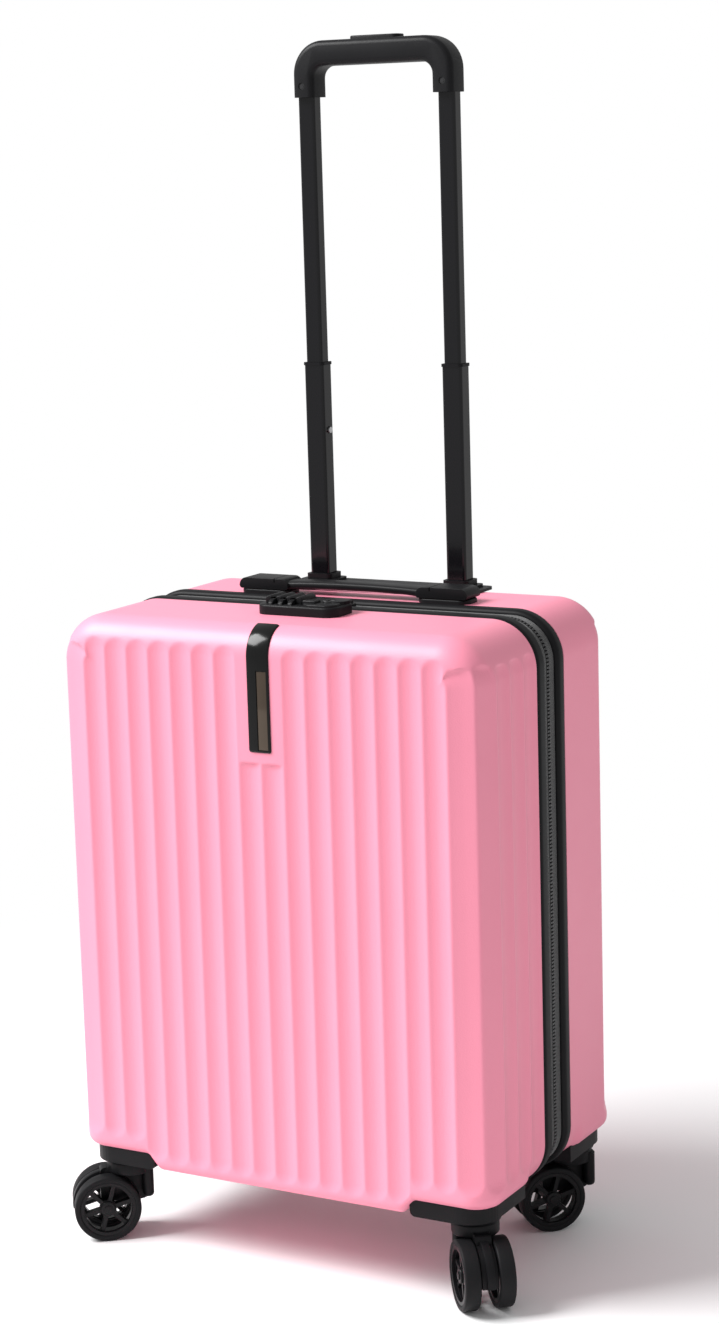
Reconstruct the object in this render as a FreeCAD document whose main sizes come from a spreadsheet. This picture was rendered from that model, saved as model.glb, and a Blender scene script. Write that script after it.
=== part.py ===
import FreeCAD, Part
import math
import os
import Sketcher
from FreeCAD import Placement, Rotation, Vector

# Cabin-size hard shell spinner suitcase, standing on its four casters with the
# telescopic handle fully extended.  Millimetres, +Z up, the front (the lid half)
# towards -Y.  The origin is the middle of the footprint, on the floor.

doc = FreeCAD.newDocument("spinner_suitcase")
sheet = doc.addObject("Spreadsheet::Sheet", "Dim")

SIZES = [
    # the two shells
    ("case_width", 385.0, "outside width of the shells"),
    ("case_top", 533.0, "height of the shells' top above the floor"),
    ("case_base", 70.5, "height of the shells' underside above the floor"),
    ("front_face", 120.0, "front face to the middle plane"),
    ("rear_face", 120.0, "rear face to the middle plane"),
    ("front_rim", 20.0, "front shell's rim to the middle plane"),
    ("rear_rim", 30.0, "rear shell's rim to the middle plane"),
    ("shell_wall", 3.0, "shell wall"),
    ("outline_corner", 38.0, "corner radius of the outline seen from the front"),
    ("face_edge", 24.0, "rounding between a face and the sides"),
    # flutes
    ("flute_pitch", 20.53, "pitch of the flutes on a face"),
    ("flute_bend", 27.5, "radius of a flute's hollow"),
    ("flute_depth", 1.4, "depth of a flute"),
    ("flute_top_gap", 16.0, "arched flute tops below the shell's top"),
    ("flute_end_gap", 26.0, "flute bottoms above the shell's underside"),
    ("short_flute_top", 425.0, "height of the two middle flutes' square tops"),
    # corner recesses over the wheel housings
    ("recess_rise", 16.0, "recess above the shell's underside"),
    ("recess_inner", 121.0, "recess's inner side from the middle"),
    ("recess_depth", 76.0, "recess back from the face"),
    # zip band
    ("parting", 6.0, "plane where the two zip halves meet"),
    ("piping_proud", 1.2, "piping outside the shell"),
    ("piping_inset", 6.0, "piping inside the shell's outline"),
    ("front_piping", 15.0, "width of the front piping"),
    ("rear_piping", 13.0, "width of the rear piping"),
    ("piping_round", 4.0, "rounding of the piping's outer edges"),
    ("tape_inset", 2.6, "zip tape below the shell's outline"),
    ("tape_thick", 1.2, "thickness of the zip tape"),
    ("teeth_width", 2.2, "width of one side's zip teeth"),
    ("teeth_thick", 2.0, "thickness of the zip teeth"),
    ("joint_gap", 0.3, "gap between parts of different bodies"),
    ("hinge_margin", 52.0, "hinge tape's ends from the shell's top and underside"),
    # soft lining
    ("lining_thick", 1.2, "lining cloth and its board"),
    ("lining_gap", 1.5, "lining clear of the shell"),
    ("tube_bay", 33.0, "space kept behind the rear lining for the tubes"),
    ("strap_width", 25.0, "packing strap"),
    ("strap_thick", 1.6, "packing strap"),
    # telescopic handle
    ("tube_spacing", 130.4, "distance between the two columns"),
    ("tube_plane", 102.0, "tubes behind the middle plane"),
    ("inner_wide", 15.2, "inner tube across"),
    ("inner_deep", 13.2, "inner tube front to back"),
    ("tube_wall", 1.0, "wall of the moving tubes"),
    ("tube_play", 0.4, "play between tubes, each side"),
    ("outer_wall", 1.2, "wall of the fixed tubes"),
    ("tube_round", 2.6, "corner radius of the tubes"),
    ("middle_top", 719.0, "top of the middle tubes, extended"),
    ("middle_length", 312.0, "middle tube"),
    ("inner_bottom", 652.0, "bottom of the inner tubes, extended"),
    ("leg_bottom", 940.0, "underside of the grip's legs, extended"),
    ("socket_depth", 26.0, "inner tube's length inside the grip"),
    ("collar_height", 2.4, "moulded ring on the middle tube's top"),
    ("collar_step", 0.8, "that ring outside the tube"),
    ("pin_radius", 2.6, "snap pin"),
    ("pin_reach", 1.8, "snap pin beyond the tube around it"),
    ("pin_up", 12.0, "snap pin above the tube's lower end"),
    ("stow_gap", 2.0, "gap left under a stage when it is pushed home"),
    # bezel
    ("bezel_width", 178.0, "bezel plate"),
    ("bezel_deep", 30.0, "bezel plate"),
    ("bezel_thick", 2.4, "bezel plate above the shell"),
    ("socket_height", 9.0, "flared socket around each fixed tube"),
    ("socket_flare", 5.5, "flare of that socket at its foot"),
    # grip
    ("grip_width", 151.0, "grip outside"),
    ("grip_deep", 26.0, "grip front to back"),
    ("grip_bar", 20.5, "height of the grip's bar"),
    ("grip_leg", 20.5, "width of a leg"),
    ("grip_height", 45.5, "grip from the legs' underside to its top"),
    ("grip_outer_round", 26.0, "outer corners"),
    ("grip_inner_round", 9.0, "corners of the hand opening"),
    ("grip_edge", 5.0, "edges of the grip"),
    ("button_length", 46.0, "release button"),
    ("button_wide", 15.0, "release button"),
    ("button_proud", 2.6, "release button above the grip"),
    ("button_travel", 2.4, "travel of the release button"),
    ("rod_radius", 2.0, "release rods inside the tubes"),
    # carry handle
    ("carry_length", 214.0, "carry handle with its mounts"),
    ("carry_wide", 25.0, "carry handle"),
    ("carry_plane", 43.6, "carry handle behind the middle plane"),
    ("carry_mount", 47.0, "length of one mount"),
    ("carry_mount_high", 3.6, "fixed base of a mount above the shell"),
    ("carry_high", 13.0, "carry handle's top above the shell"),
    ("carry_gap", 5.4, "gap under the grip bar, at rest"),
    ("carry_lift", 12.0, "travel of the grip bar"),
    ("carry_post", 3.0, "posts that the grip bar rises on"),
    ("carry_sleeve", 6.6, "outside radius of the sleeves round the posts"),
    ("carry_sleeve_spare", 15.0, "sleeves below the shell, beyond that travel"),
    # lock
    ("lock_length", 73.0, "lock case"),
    ("lock_deep", 38.0, "lock case front to back"),
    ("lock_high", 10.5, "lock case above the shell"),
    ("lock_front", 62.0, "lock's front edge before the middle plane"),
    ("dial_radius", 5.6, "number dial"),
    ("dial_wide", 4.0, "number dial"),
    ("dial_pitch", 9.0, "distance between dials"),
    ("dial_first", -24.0, "middle of the first dial"),
    ("key_radius", 5.0, "key cylinder"),
    ("lock_button_travel", 1.2, "travel of the lock's release"),
    # badge
    ("badge_width", 20.0, "badge"),
    ("badge_bottom", 434.0, "badge's lower end"),
    ("badge_proud", 1.6, "badge above the face"),
    # zip pulls
    ("slider_apart", 11.0, "each zip slider from the middle"),
    ("slider_length", 12.0, "zip slider along the zip"),
    ("puller_length", 27.0, "zip puller"),
    ("puller_rise", 3.7, "puller above the slider's underside"),
    # casters
    ("swivel_inset_x", 163.0, "caster swivel from the middle, across"),
    ("swivel_inset_y", 88.0, "caster swivel from the middle, front to back"),
    ("wheel_radius", 28.0, "wheel"),
    ("wheel_width", 13.0, "one wheel"),
    ("wheel_gap", 15.0, "gap between the two wheels"),
    ("caster_trail", 21.0, "axle behind the swivel"),
    ("tyre_thick", 5.0, "tyre"),
    ("axle_radius", 3.0, "axle"),
    ("fork_width", 13.6, "fork between the wheels"),
    ("neck_radius", 20.5, "neck of the caster"),
    ("spindle_radius", 6.0, "swivel spindle"),
    ("screw_radius", 1.6, "screws"),
]

# Every caster: side along X, side along Y, and the way its wheels trail (degrees from +X).
CASTERS = {
    "front_left": (-1, -1, 218.0),
    "front_right": (1, -1, -49.0),
    "rear_left": (-1, 1, 62.0),
    "rear_right": (1, 1, 225.0),
}

for row, (alias, value, note) in enumerate(SIZES, start=1):
    sheet.set("A%d" % row, alias)
    sheet.set("B%d" % row, str(value))
    sheet.set("C%d" % row, note)
    sheet.setAlias("B%d" % row, alias)
doc.recompute()

WINDOWS = 6
# The rear shell is fluted round its upright edges only, not along its sides.
REAR_EDGE_FLUTES = 2
SPRING_TURNS = 6
AXES = ("x", "y", "z")
nodes = []


def size(alias):
    """The number that a cell of the sheet holds."""
    return float(sheet.get(alias))


def bind(obj, prop, expression):
    """Tie a property to the sheet; names in braces are cells."""
    obj.setExpression(prop, str(expression).replace("{", "Dim.").replace("}", ""))


def place(obj, spot, rotation=None):
    if rotation is not None:
        obj.Placement = Placement(Vector(), rotation)
    for axis, expression in zip(AXES, spot):
        bind(obj, "Placement.Base." + axis, expression)
    return obj


def block(name, lengths, corner):
    obj = doc.addObject("Part::Box", name)
    for prop, expression in zip(("Length", "Width", "Height"), lengths):
        bind(obj, prop, expression)
    return place(obj, corner)


TURN = {
    "x": Rotation(Vector(0, 1, 0), 90),
    "y": Rotation(Vector(1, 0, 0), -90),
    "z": Rotation(),
}


def rod(name, radius, length, foot, axis="z"):
    obj = doc.addObject("Part::Cylinder", name)
    bind(obj, "Radius", radius)
    bind(obj, "Height", length)
    return place(obj, foot, TURN[axis])


def cone(name, lower, upper, height, foot):
    obj = doc.addObject("Part::Cone", name)
    bind(obj, "Radius1", lower)
    bind(obj, "Radius2", upper)
    bind(obj, "Height", height)
    return place(obj, foot)


def joined(name, pieces):
    obj = doc.addObject("Part::MultiFuse", name)
    obj.Shapes = pieces
    return obj


def group(name, pieces):
    obj = doc.addObject("Part::Compound", name)
    obj.Links = pieces
    return obj


def cut(name, base, tools):
    obj = doc.addObject("Part::Cut", name)
    obj.Base = base
    obj.Tool = tools[0] if len(tools) == 1 else joined(name + "_tools", tools)
    return obj


def node(obj, label):
    """Name a finished sub-part."""
    obj.Label = label
    nodes.append(obj)
    return obj


def origin_plane(body, role):
    for feature in body.Origin.OriginFeatures:
        if feature.Role == role:
            return feature
    raise RuntimeError("no plane " + role)


def rectangle(sketch, width, height, middle, base):
    """A rectangle whose middle and lower side are set from the sketch's origin."""
    corners = [Vector(-10, 1, 0), Vector(10, 1, 0), Vector(10, 9, 0), Vector(-10, 9, 0)]
    for start, end in zip(corners, corners[1:] + corners[:1]):
        sketch.addGeometry(Part.LineSegment(start, end))
    for side in range(4):
        sketch.addConstraint(Sketcher.Constraint("Coincident", side, 2, (side + 1) % 4, 1))
    sketch.addConstraint(Sketcher.Constraint("Horizontal", 0))
    sketch.addConstraint(Sketcher.Constraint("Horizontal", 2))
    sketch.addConstraint(Sketcher.Constraint("Vertical", 1))
    sketch.addConstraint(Sketcher.Constraint("Vertical", 3))
    drives = [
        ("width", Sketcher.Constraint("DistanceX", 0, 1, 0, 2, 20.0), width),
        ("height", Sketcher.Constraint("DistanceY", 1, 1, 1, 2, 8.0), height),
        ("left", Sketcher.Constraint("DistanceX", -1, 1, 0, 1, -10.0),
         "%s - (%s) / 2" % (middle, width)),
        ("base", Sketcher.Constraint("DistanceY", -1, 1, 0, 1, 1.0), base),
    ]
    for name, constraint, expression in drives:
        index = sketch.addConstraint(constraint)
        sketch.renameConstraint(index, name)
        bind(sketch, "Constraints." + name, expression)


PLANE_ROLE = {"xz": "XZ_Plane", "xy": "XY_Plane", "yz": "YZ_Plane"}
NORMAL = {"xz": Vector(0, -1, 0), "xy": Vector(0, 0, 1), "yz": Vector(1, 0, 0)}


def edge_names(shape, test):
    return ["Edge%d" % (i + 1) for i, edge in enumerate(shape.Edges) if test(edge)]


def along(direction):
    """Picks straight edges that run along a direction."""
    def test(edge):
        if not isinstance(edge.Curve, Part.Line):
            return False
        return abs(edge.Curve.Direction.dot(direction)) > 0.999
    return test


def lying_at(axis, value, slack=0.01):
    """Picks edges that lie in the plane axis = value."""
    def test(edge):
        box = edge.BoundBox
        low, high = {"x": (box.XMin, box.XMax), "y": (box.YMin, box.YMax),
                     "z": (box.ZMin, box.ZMax)}[axis]
        return abs(low - value) < slack and abs(high - value) < slack
    return test


def round_off(body, base, radius, test):
    """A PartDesign fillet on the edges that a test picks."""
    doc.recompute()
    feature = body.newObject("PartDesign::Fillet", "Round")
    feature.Base = (base, edge_names(base.Shape, test))
    bind(feature, "Radius", radius)
    doc.recompute()
    return feature


def slab(name, plane, width, height, depth, middle=0, base=0, start=0, corner=None):
    """A rectangle padded away from its plane, its four long edges rounded.

    start is the coordinate of the pad's first face along the plane's axis, and depth
    runs from there towards plus."""
    body = doc.addObject("PartDesign::Body", name)
    sketch = body.newObject("Sketcher::SketchObject", name + "_outline")
    sketch.AttachmentSupport = [(origin_plane(body, PLANE_ROLE[plane]), "")]
    sketch.MapMode = "FlatFace"
    rectangle(sketch, width, height, middle, base)
    forward = plane != "xz"
    bind(sketch, "AttachmentOffset.Base.z", start if forward else "-(%s)" % start)
    pad = body.newObject("PartDesign::Pad", name + "_pad")
    pad.Profile = sketch
    pad.Reversed = not forward
    bind(pad, "Length", depth)
    doc.recompute()
    if corner is not None:
        round_off(body, pad, corner, along(NORMAL[plane]))
    return body


def shell_outline(name, inset, start, depth):
    """A slab with the outline of the shells, moved inwards by inset."""
    return slab(name, "xz", "{case_width} - 2 * (%s)" % inset,
                "{case_top} - {case_base} - 2 * (%s)" % inset, depth,
                base="{case_base} + (%s)" % inset, start=start,
                corner="{outline_corner} - (%s)" % inset)


# ---------------------------------------------------------------- shells

def corner_recess(name, rise, inner, side_x, face, depth):
    """The block that a wheel corner takes out of a shell."""
    half = "{case_width} / 2 + 1"
    length = "%s - (%s)" % (half, inner)
    x = inner if side_x > 0 else "-(%s)" % half
    y = "-{front_face} - 1" if face == "front" else "{rear_face} + 1 - (%s)" % depth
    return block(name, (length, depth, "(%s) + 1" % rise), (x, y, "{case_base} - 1"))


def flute_cutters(face):
    """All hollows of one shell, as shapes set side by side along the face and round to the rim."""
    pitch = size("flute_pitch")
    bend = size("flute_bend")
    reach = bend - size("flute_depth")
    half_chord = math.sqrt(bend ** 2 - reach ** 2)
    top = size("case_top") - size("flute_top_gap") - half_chord
    foot = size("case_base") + size("flute_end_gap") + half_chord
    short_top = size("short_flute_top")
    half_width = size("case_width") / 2
    sign = -1 if face == "front" else 1
    depth_line = size(face + "_face")
    rim = size(face + "_rim")
    edge = size("face_edge")

    def hollow(x, y, upper, square):
        column = Part.makeCylinder(bend, upper - foot, Vector(x, y, foot))
        column = column.fuse(Part.makeSphere(bend, Vector(x, y, foot)))
        if not square:
            column = column.fuse(Part.makeSphere(bend, Vector(x, y, upper)))
        return column

    cutters = []
    flat_half = half_width - edge
    count = int(flat_half / pitch)
    for index in range(count):
        offset = (index + 0.5) * pitch
        square = index == 0 and face == "front"
        upper = short_top if square else top
        for side in (-1, 1):
            cutters.append(hollow(side * offset, sign * (depth_line + reach), upper, square))
    # round the vertical edge and along the side, evenly down to the rim
    run = math.pi / 2 * edge + (depth_line - edge - rim) + (flat_half - count * pitch)
    steps = max(1, int(run / pitch))
    for step in range(steps if face == "front" else REAR_EDGE_FLUTES):
        along_path = (step + 0.5) * run / steps - (flat_half - count * pitch)
        turn = along_path / edge
        if turn < 0:
            x = flat_half + along_path
            y = depth_line + reach
        elif turn < math.pi / 2:
            x = flat_half + (edge + reach) * math.sin(turn)
            y = depth_line - edge + (edge + reach) * math.cos(turn)
        else:
            x = half_width + reach
            y = depth_line - edge - (along_path - edge * math.pi / 2)
        for side in (-1, 1):
            cutters.append(hollow(side * x, sign * y, top, False))
    return cutters


def shell(face):
    """One hollow half of the case, fluted, with recesses over its two wheel housings."""
    front = face == "front"
    depth = "{%s_face} - {%s_rim}" % (face, face)
    start = "-{front_face}" if front else "{rear_rim}"
    outer = shell_outline(face + "_outer", "0", start, depth)
    level = -size("front_face") if front else size("rear_face")
    round_off(outer, outer.Tip, "{face_edge}", lying_at("y", level))
    wall = "{shell_wall}"
    inner_start = "-{front_face} + {shell_wall}" if front else "{rear_rim} - 1"
    inner = shell_outline(face + "_inner", wall, inner_start, depth + " - {shell_wall} + 1")
    level = size(face + "_face") - size("shell_wall")
    round_off(inner, inner.Tip, "{face_edge} - {shell_wall}",
              lying_at("y", -level if front else level))
    outside = [corner_recess("%s_notch_%d" % (face, side + 1), "{recess_rise}",
                             "{recess_inner}", side, face, "{recess_depth} + 1")
               for side in (-1, 1)]
    inside = [corner_recess("%s_step_%d" % (face, side + 1), "{recess_rise} + {shell_wall}",
                            "{recess_inner} - {shell_wall}", side, face,
                            "{recess_depth} + 1 + {shell_wall}")
              for side in (-1, 1)]
    room = cut(face + "_room", inner, inside)
    plain = cut(face + "_plain", outer, [room] + outside)
    doc.recompute()
    holes = shell_holes(face)
    fluted = doc.addObject("Part::Feature", face + "_shell")
    shape = plain.Shape
    for cutter in flute_cutters(face):
        shape = shape.cut(cutter)
    for hole in holes:
        shape = shape.cut(hole)
    fluted.Shape = Part.Compound(shape.Solids) if len(shape.Solids) > 1 else shape.Solids[0]
    return node(fluted, face + "_shell")


def shell_holes(face):
    """Holes for what passes through a shell's wall."""
    top = size("case_top")
    wall = size("shell_wall")
    holes = []
    if face == "rear":
        wide = size("inner_wide") + 2 * (size("tube_wall") + 2 * size("tube_play") + size("outer_wall"))
        deep = size("inner_deep") + 2 * (size("tube_wall") + 2 * size("tube_play") + size("outer_wall"))
        slack = 0.4
        for side in (-1, 1):
            x = side * size("tube_spacing") / 2
            y = size("tube_plane")
            corner = Vector(x - wide / 2 - slack, y - deep / 2 - slack, top - 30)
            holes.append(Part.makeBox(wide + 2 * slack, deep + 2 * slack, 40, corner))
            post = Vector(side * (size("carry_length") - size("carry_mount")) / 2,
                          size("carry_plane"), top - 10)
            holes.append(Part.makeCylinder(size("carry_post") + 0.3, 20, post))
    side_y = 1 if face == "rear" else -1
    for side in (-1, 1):
        centre = Vector(side * size("swivel_inset_x"), size("swivel_inset_y") * side_y,
                        size("case_base"))
        for dx, dy in screw_spots(side, side_y):
            holes.append(Part.makeCylinder(size("screw_radius") + 0.05, size("recess_rise") + wall + 2,
                                           centre + Vector(dx, dy, 0)))
        holes.append(Part.makeCylinder(size("spindle_radius") + 5, size("recess_rise") + wall + 2, centre))
    return holes


# ---------------------------------------------------------------- zip band

def band(name, outer_inset, inner_inset, start, width, rounding=None):
    """A ring that follows the shells' outline."""
    outer = shell_outline(name + "_outside", outer_inset, start, width)
    if rounding is not None:
        y0 = outer.Tip.Shape.BoundBox.YMin
        y1 = outer.Tip.Shape.BoundBox.YMax
        near = lying_at("y", y0)
        far = lying_at("y", y1)
        round_off(outer, outer.Tip, rounding, lambda edge: near(edge) or far(edge))
    inner = shell_outline(name + "_inside", inner_inset, "(%s) - 1" % start,
                          "(%s) + 2" % width)
    return cut(name, outer, [inner])


def without_hinge_side(name, ring):
    """Leaves out the stretch of a ring where the hinge tape runs."""
    gap = block(name + "_gap",
                ("30", "80", "{case_top} - {case_base} - 2 * {hinge_margin} + 6"),
                ("-{case_width} / 2 - 5", "-40", "{case_base} + {hinge_margin} - 3"))
    return cut(name, ring, [gap])


def zip_band():
    node(band("front_piping", "-{piping_proud}", "{piping_inset}", "-{front_rim}",
              "{front_piping}", "{piping_round}"), "front_piping")
    node(band("rear_piping", "-{piping_proud}", "{piping_inset}",
              "{rear_rim} - {rear_piping}", "{rear_piping}", "{piping_round}"), "rear_piping")
    tape_low = "{tape_inset}"
    tape_high = "{tape_inset} + {tape_thick}"
    teeth_low = "{tape_inset} - ({teeth_thick} - {tape_thick}) / 2"
    teeth_high = "{tape_inset} + {tape_thick} + ({teeth_thick} - {tape_thick}) / 2"
    front_start = "-{front_rim} + {front_piping}"
    rear_end = "{rear_rim} - {rear_piping}"
    teeth_front = "{parting} - {joint_gap} / 2 - {teeth_width}"
    teeth_rear = "{parting} + {joint_gap} / 2"
    rings = [
        ("front_zip_tape", tape_low, tape_high, front_start,
         "(%s) - (%s)" % (teeth_front, front_start)),
        ("front_zip_teeth", teeth_low, teeth_high, teeth_front, "{teeth_width}"),
        ("rear_zip_teeth", teeth_low, teeth_high, teeth_rear, "{teeth_width}"),
        ("rear_zip_tape", tape_low, tape_high, teeth_rear + " + {teeth_width}",
         "(%s) - (%s) - {teeth_width}" % (rear_end, teeth_rear)),
    ]
    for name, low, high, start, width in rings:
        ring = band(name + "_ring", low, high, start, width)
        node(without_hinge_side(name, ring), name)
    tape = block("hinge_tape",
                 ("{tape_thick}", "{front_rim} - {front_piping} + {rear_rim} - {rear_piping} - 2 * {joint_gap}",
                  "{case_top} - {case_base} - 2 * {hinge_margin}"),
                 ("-{case_width} / 2 + {tape_inset}", "-{front_rim} + {front_piping} + {joint_gap}",
                  "{case_base} + {hinge_margin}"))
    node(tape, "hinge_tape")


def zip_pulls():
    """Two sliders on the top run, each with a puller lying towards the lock."""
    level = "{case_top} - {tape_inset} + ({teeth_thick} - {tape_thick}) / 2 + {joint_gap}"
    hinge_y = "{parting} - 1.2"
    hinge_z = level + " + {puller_rise} + 0.9"
    for label, side in (("left", -1), ("right", 1)):
        x = "%d * {slider_apart}" % side
        plate = block(label + "_slider_plate", ("{slider_length}", 11, 2.4),
                      (x + " - {slider_length} / 2", "{parting} - 5.5", level))
        lugs = [block("%s_slider_lug_%d" % (label, i), (1.6, 5, "{puller_rise} + 1.8"),
                      ("%s + %s" % (x, shift), hinge_y + " - 2.5", level))
                for i, shift in enumerate(("-4.6", "3"))]
        pin = rod(label + "_slider_pin", 0.9, 9.2, (x + " - 4.6", hinge_y, hinge_z), "x")
        node(joined(label + "_slider", [plate, pin] + lugs), "zip_slider_" + label)
        arm = block(label + "_puller_arm", (5.4, "{puller_length}", 1.8),
                    (x + " - 2.7", hinge_y + " - {puller_length}", level + " + {puller_rise}"))
        eye = rod(label + "_puller_eye", 1.9, 5.4, (x + " - 2.7", hinge_y, hinge_z), "x")
        hole = rod(label + "_puller_hole", 0.95, 8, (x + " - 4", hinge_y, hinge_z), "x")
        body = joined(label + "_puller_body", [arm, eye])
        node(cut(label + "_puller", body, [hole]), "zip_puller_" + label)


# ---------------------------------------------------------------- lining

def lining(face):
    """An open tray of lined board inside a shell."""
    front = face == "front"
    gap = "{shell_wall} + {lining_gap}"
    floor = "{lining_gap} + {shell_wall}" if front else "{tube_bay}"
    start = "-{front_face} + " + floor if front else "{rear_rim}"
    depth = "{%s_face} - {%s_rim} - (%s)" % (face, face, floor)
    lift = "{recess_rise} + {shell_wall} + {lining_gap}"

    def tray(name, inset, from_y, deep):
        wide = "{case_width} - 2 * (%s)" % inset
        high = "{case_top} - {case_base} - 2 * (%s) - (%s)" % (inset, lift)
        return slab(name, "xz", wide, high, deep, base="{case_base} + (%s) + (%s)" % (inset, lift),
                    start=from_y, corner="{outline_corner} - (%s)" % inset)
    outer = tray(face + "_tray", gap, start, depth)
    if front:
        edge = -size("front_face") + size("shell_wall") + size("lining_gap")
        round_off(outer, outer.Tip, "{face_edge} - {shell_wall} - {lining_gap}", lying_at("y", edge))
    inset = gap + " + {lining_thick}"
    from_y = start + " + {lining_thick}" if front else start + " - 1"
    inner = tray(face + "_tray_room", inset, from_y, depth + " - {lining_thick} + 1")
    if front:
        edge += size("lining_thick")
        round_off(inner, inner.Tip, "{face_edge} - {shell_wall} - {lining_gap} - {lining_thick}",
                  lying_at("y", edge))
    tools = [inner]
    if not front:
        for side in (-1, 1):
            tools.append(rod("lining_hole_%d" % (side + 1), "{carry_sleeve} + 0.5", 40,
                             ("%d * ({carry_length} - {carry_mount}) / 2" % side,
                              "{carry_plane}", "{case_top} - 35")))
    return node(cut(face + "_lining", outer, tools), face + "_lining")


def packing_straps():
    """Two straps that lie on the rear lining, joined by a buckle."""
    surface = "{rear_face} - {tube_bay} - {lining_thick} - {strap_thick} - 0.3"
    level = "({case_top} + {case_base}) / 2 - {strap_width} / 2"
    reach = "{case_width} / 2 - {shell_wall} - {lining_gap} - {lining_thick} - 0.5"
    left = block("strap_left", ("(%s) - 24" % reach, "{strap_thick}", "{strap_width}"),
                 ("-(%s)" % reach, surface, level))
    right = block("strap_right", ("(%s) - 24" % reach, "{strap_thick}", "{strap_width}"),
                  ("24", surface, level))
    socket = block("buckle_socket", (27, 7, "{strap_width} + 8"),
                   (-23.5, "(%s) - 5.4" % surface, "(%s) - 4" % level))
    plug = block("buckle_plug", (18, 5, "{strap_width} + 2"),
                 (3.8, "(%s) - 4.4" % surface, "(%s) - 1" % level))
    node(group("packing_straps", [left, right, socket, plug]), "packing_straps")


# ---------------------------------------------------------------- telescopic handle

MIDDLE_WIDE = "({inner_wide} + 2 * {tube_wall} + 2 * {tube_play})"
MIDDLE_DEEP = "({inner_deep} + 2 * {tube_wall} + 2 * {tube_play})"
OUTER_WIDE = "(%s + 2 * {tube_play} + 2 * {outer_wall})" % MIDDLE_WIDE
OUTER_DEEP = "(%s + 2 * {tube_play} + 2 * {outer_wall})" % MIDDLE_DEEP


def bar(name, side, wide, deep, foot, length, corner):
    """An upright bar of rounded rectangular section on one tube's axis."""
    return slab(name, "xy", wide, deep, length, middle="%d * {tube_spacing} / 2" % side,
                base="{tube_plane} - (%s) / 2" % deep, start=foot, corner=corner)


def tube(name, side, wide, deep, wall, foot, length):
    outside = bar(name + "_outside", side, wide, deep, foot, length, "{tube_round}")
    inside = bar(name + "_inside", side, "%s - 2 * (%s)" % (wide, wall),
                 "%s - 2 * (%s)" % (deep, wall), "(%s) - 1" % foot, "(%s) + 2" % length,
                 "{tube_round} - (%s)" % wall)
    return outside, inside


def pin_hole(name, side, level):
    """A hole through a tube's inner-facing wall, for a snap pin."""
    x = "%d * ({tube_spacing} / 2 - %s)" % (side, "11")
    start = "%s - 5" % x
    return rod(name, "{pin_radius} + 0.5", 10, (start, "{tube_plane}", level), "x")


def tubes():
    outer_foot = "{case_base} + {shell_wall} + {recess_rise} + 5"
    upper_pin = "{inner_bottom} + {pin_up}"
    lower_pin = "{middle_top} - {middle_length} + {pin_up}"
    upper_travel = "({leg_bottom} - {middle_top} - {stow_gap})"
    lower_travel = "({middle_top} - {case_top} - {socket_height} - {stow_gap})"
    fixed = []
    middle = []
    inner = []
    for label, side in (("left", -1), ("right", 1)):
        outside, inside = tube("fixed_" + label, side, OUTER_WIDE, OUTER_DEEP, "{outer_wall}",
                               outer_foot, "{case_top} + {bezel_thick} - (%s)" % outer_foot)
        holes = [pin_hole("fixed_%s_hole_up" % label, side, lower_pin),
                 pin_hole("fixed_%s_hole_down" % label, side, lower_pin + " - " + lower_travel)]
        fixed.append(cut("fixed_tube_" + label, outside, [inside] + holes))
        outside, inside = tube("middle_" + label, side, MIDDLE_WIDE, MIDDLE_DEEP, "{tube_wall}",
                               "{middle_top} - {middle_length}", "{middle_length}")
        holes = [pin_hole("middle_%s_hole_up" % label, side, upper_pin),
                 pin_hole("middle_%s_hole_down" % label, side, upper_pin + " - " + upper_travel),
                 pin_hole("middle_%s_hole_foot" % label, side, lower_pin)]
        middle.append(cut("middle_tube_" + label, outside, [inside] + holes))
        outside, inside = tube("inner_" + label, side, "{inner_wide}", "{inner_deep}", "{tube_wall}",
                               "{inner_bottom}", "{leg_bottom} + {socket_depth} - {inner_bottom}")
        hole = pin_hole("inner_%s_hole" % label, side, upper_pin)
        inner.append(cut("inner_tube_" + label, outside, [inside, hole]))
    node(group("fixed_tubes", fixed), "outer_tubes")
    node(group("middle_stage_tubes", middle), "middle_tubes")
    node(group("inner_stage_tubes", inner), "inner_tubes")
    snap_pins("upper", "{inner_bottom}", "{inner_wide}", "{tube_wall}",
              "%s / 2 + {pin_reach}" % MIDDLE_WIDE, "{inner_deep}")
    snap_pins("lower", "{middle_top} - {middle_length}", MIDDLE_WIDE, "{tube_wall}",
              "%s / 2 + {pin_reach}" % OUTER_WIDE, MIDDLE_DEEP)


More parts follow.
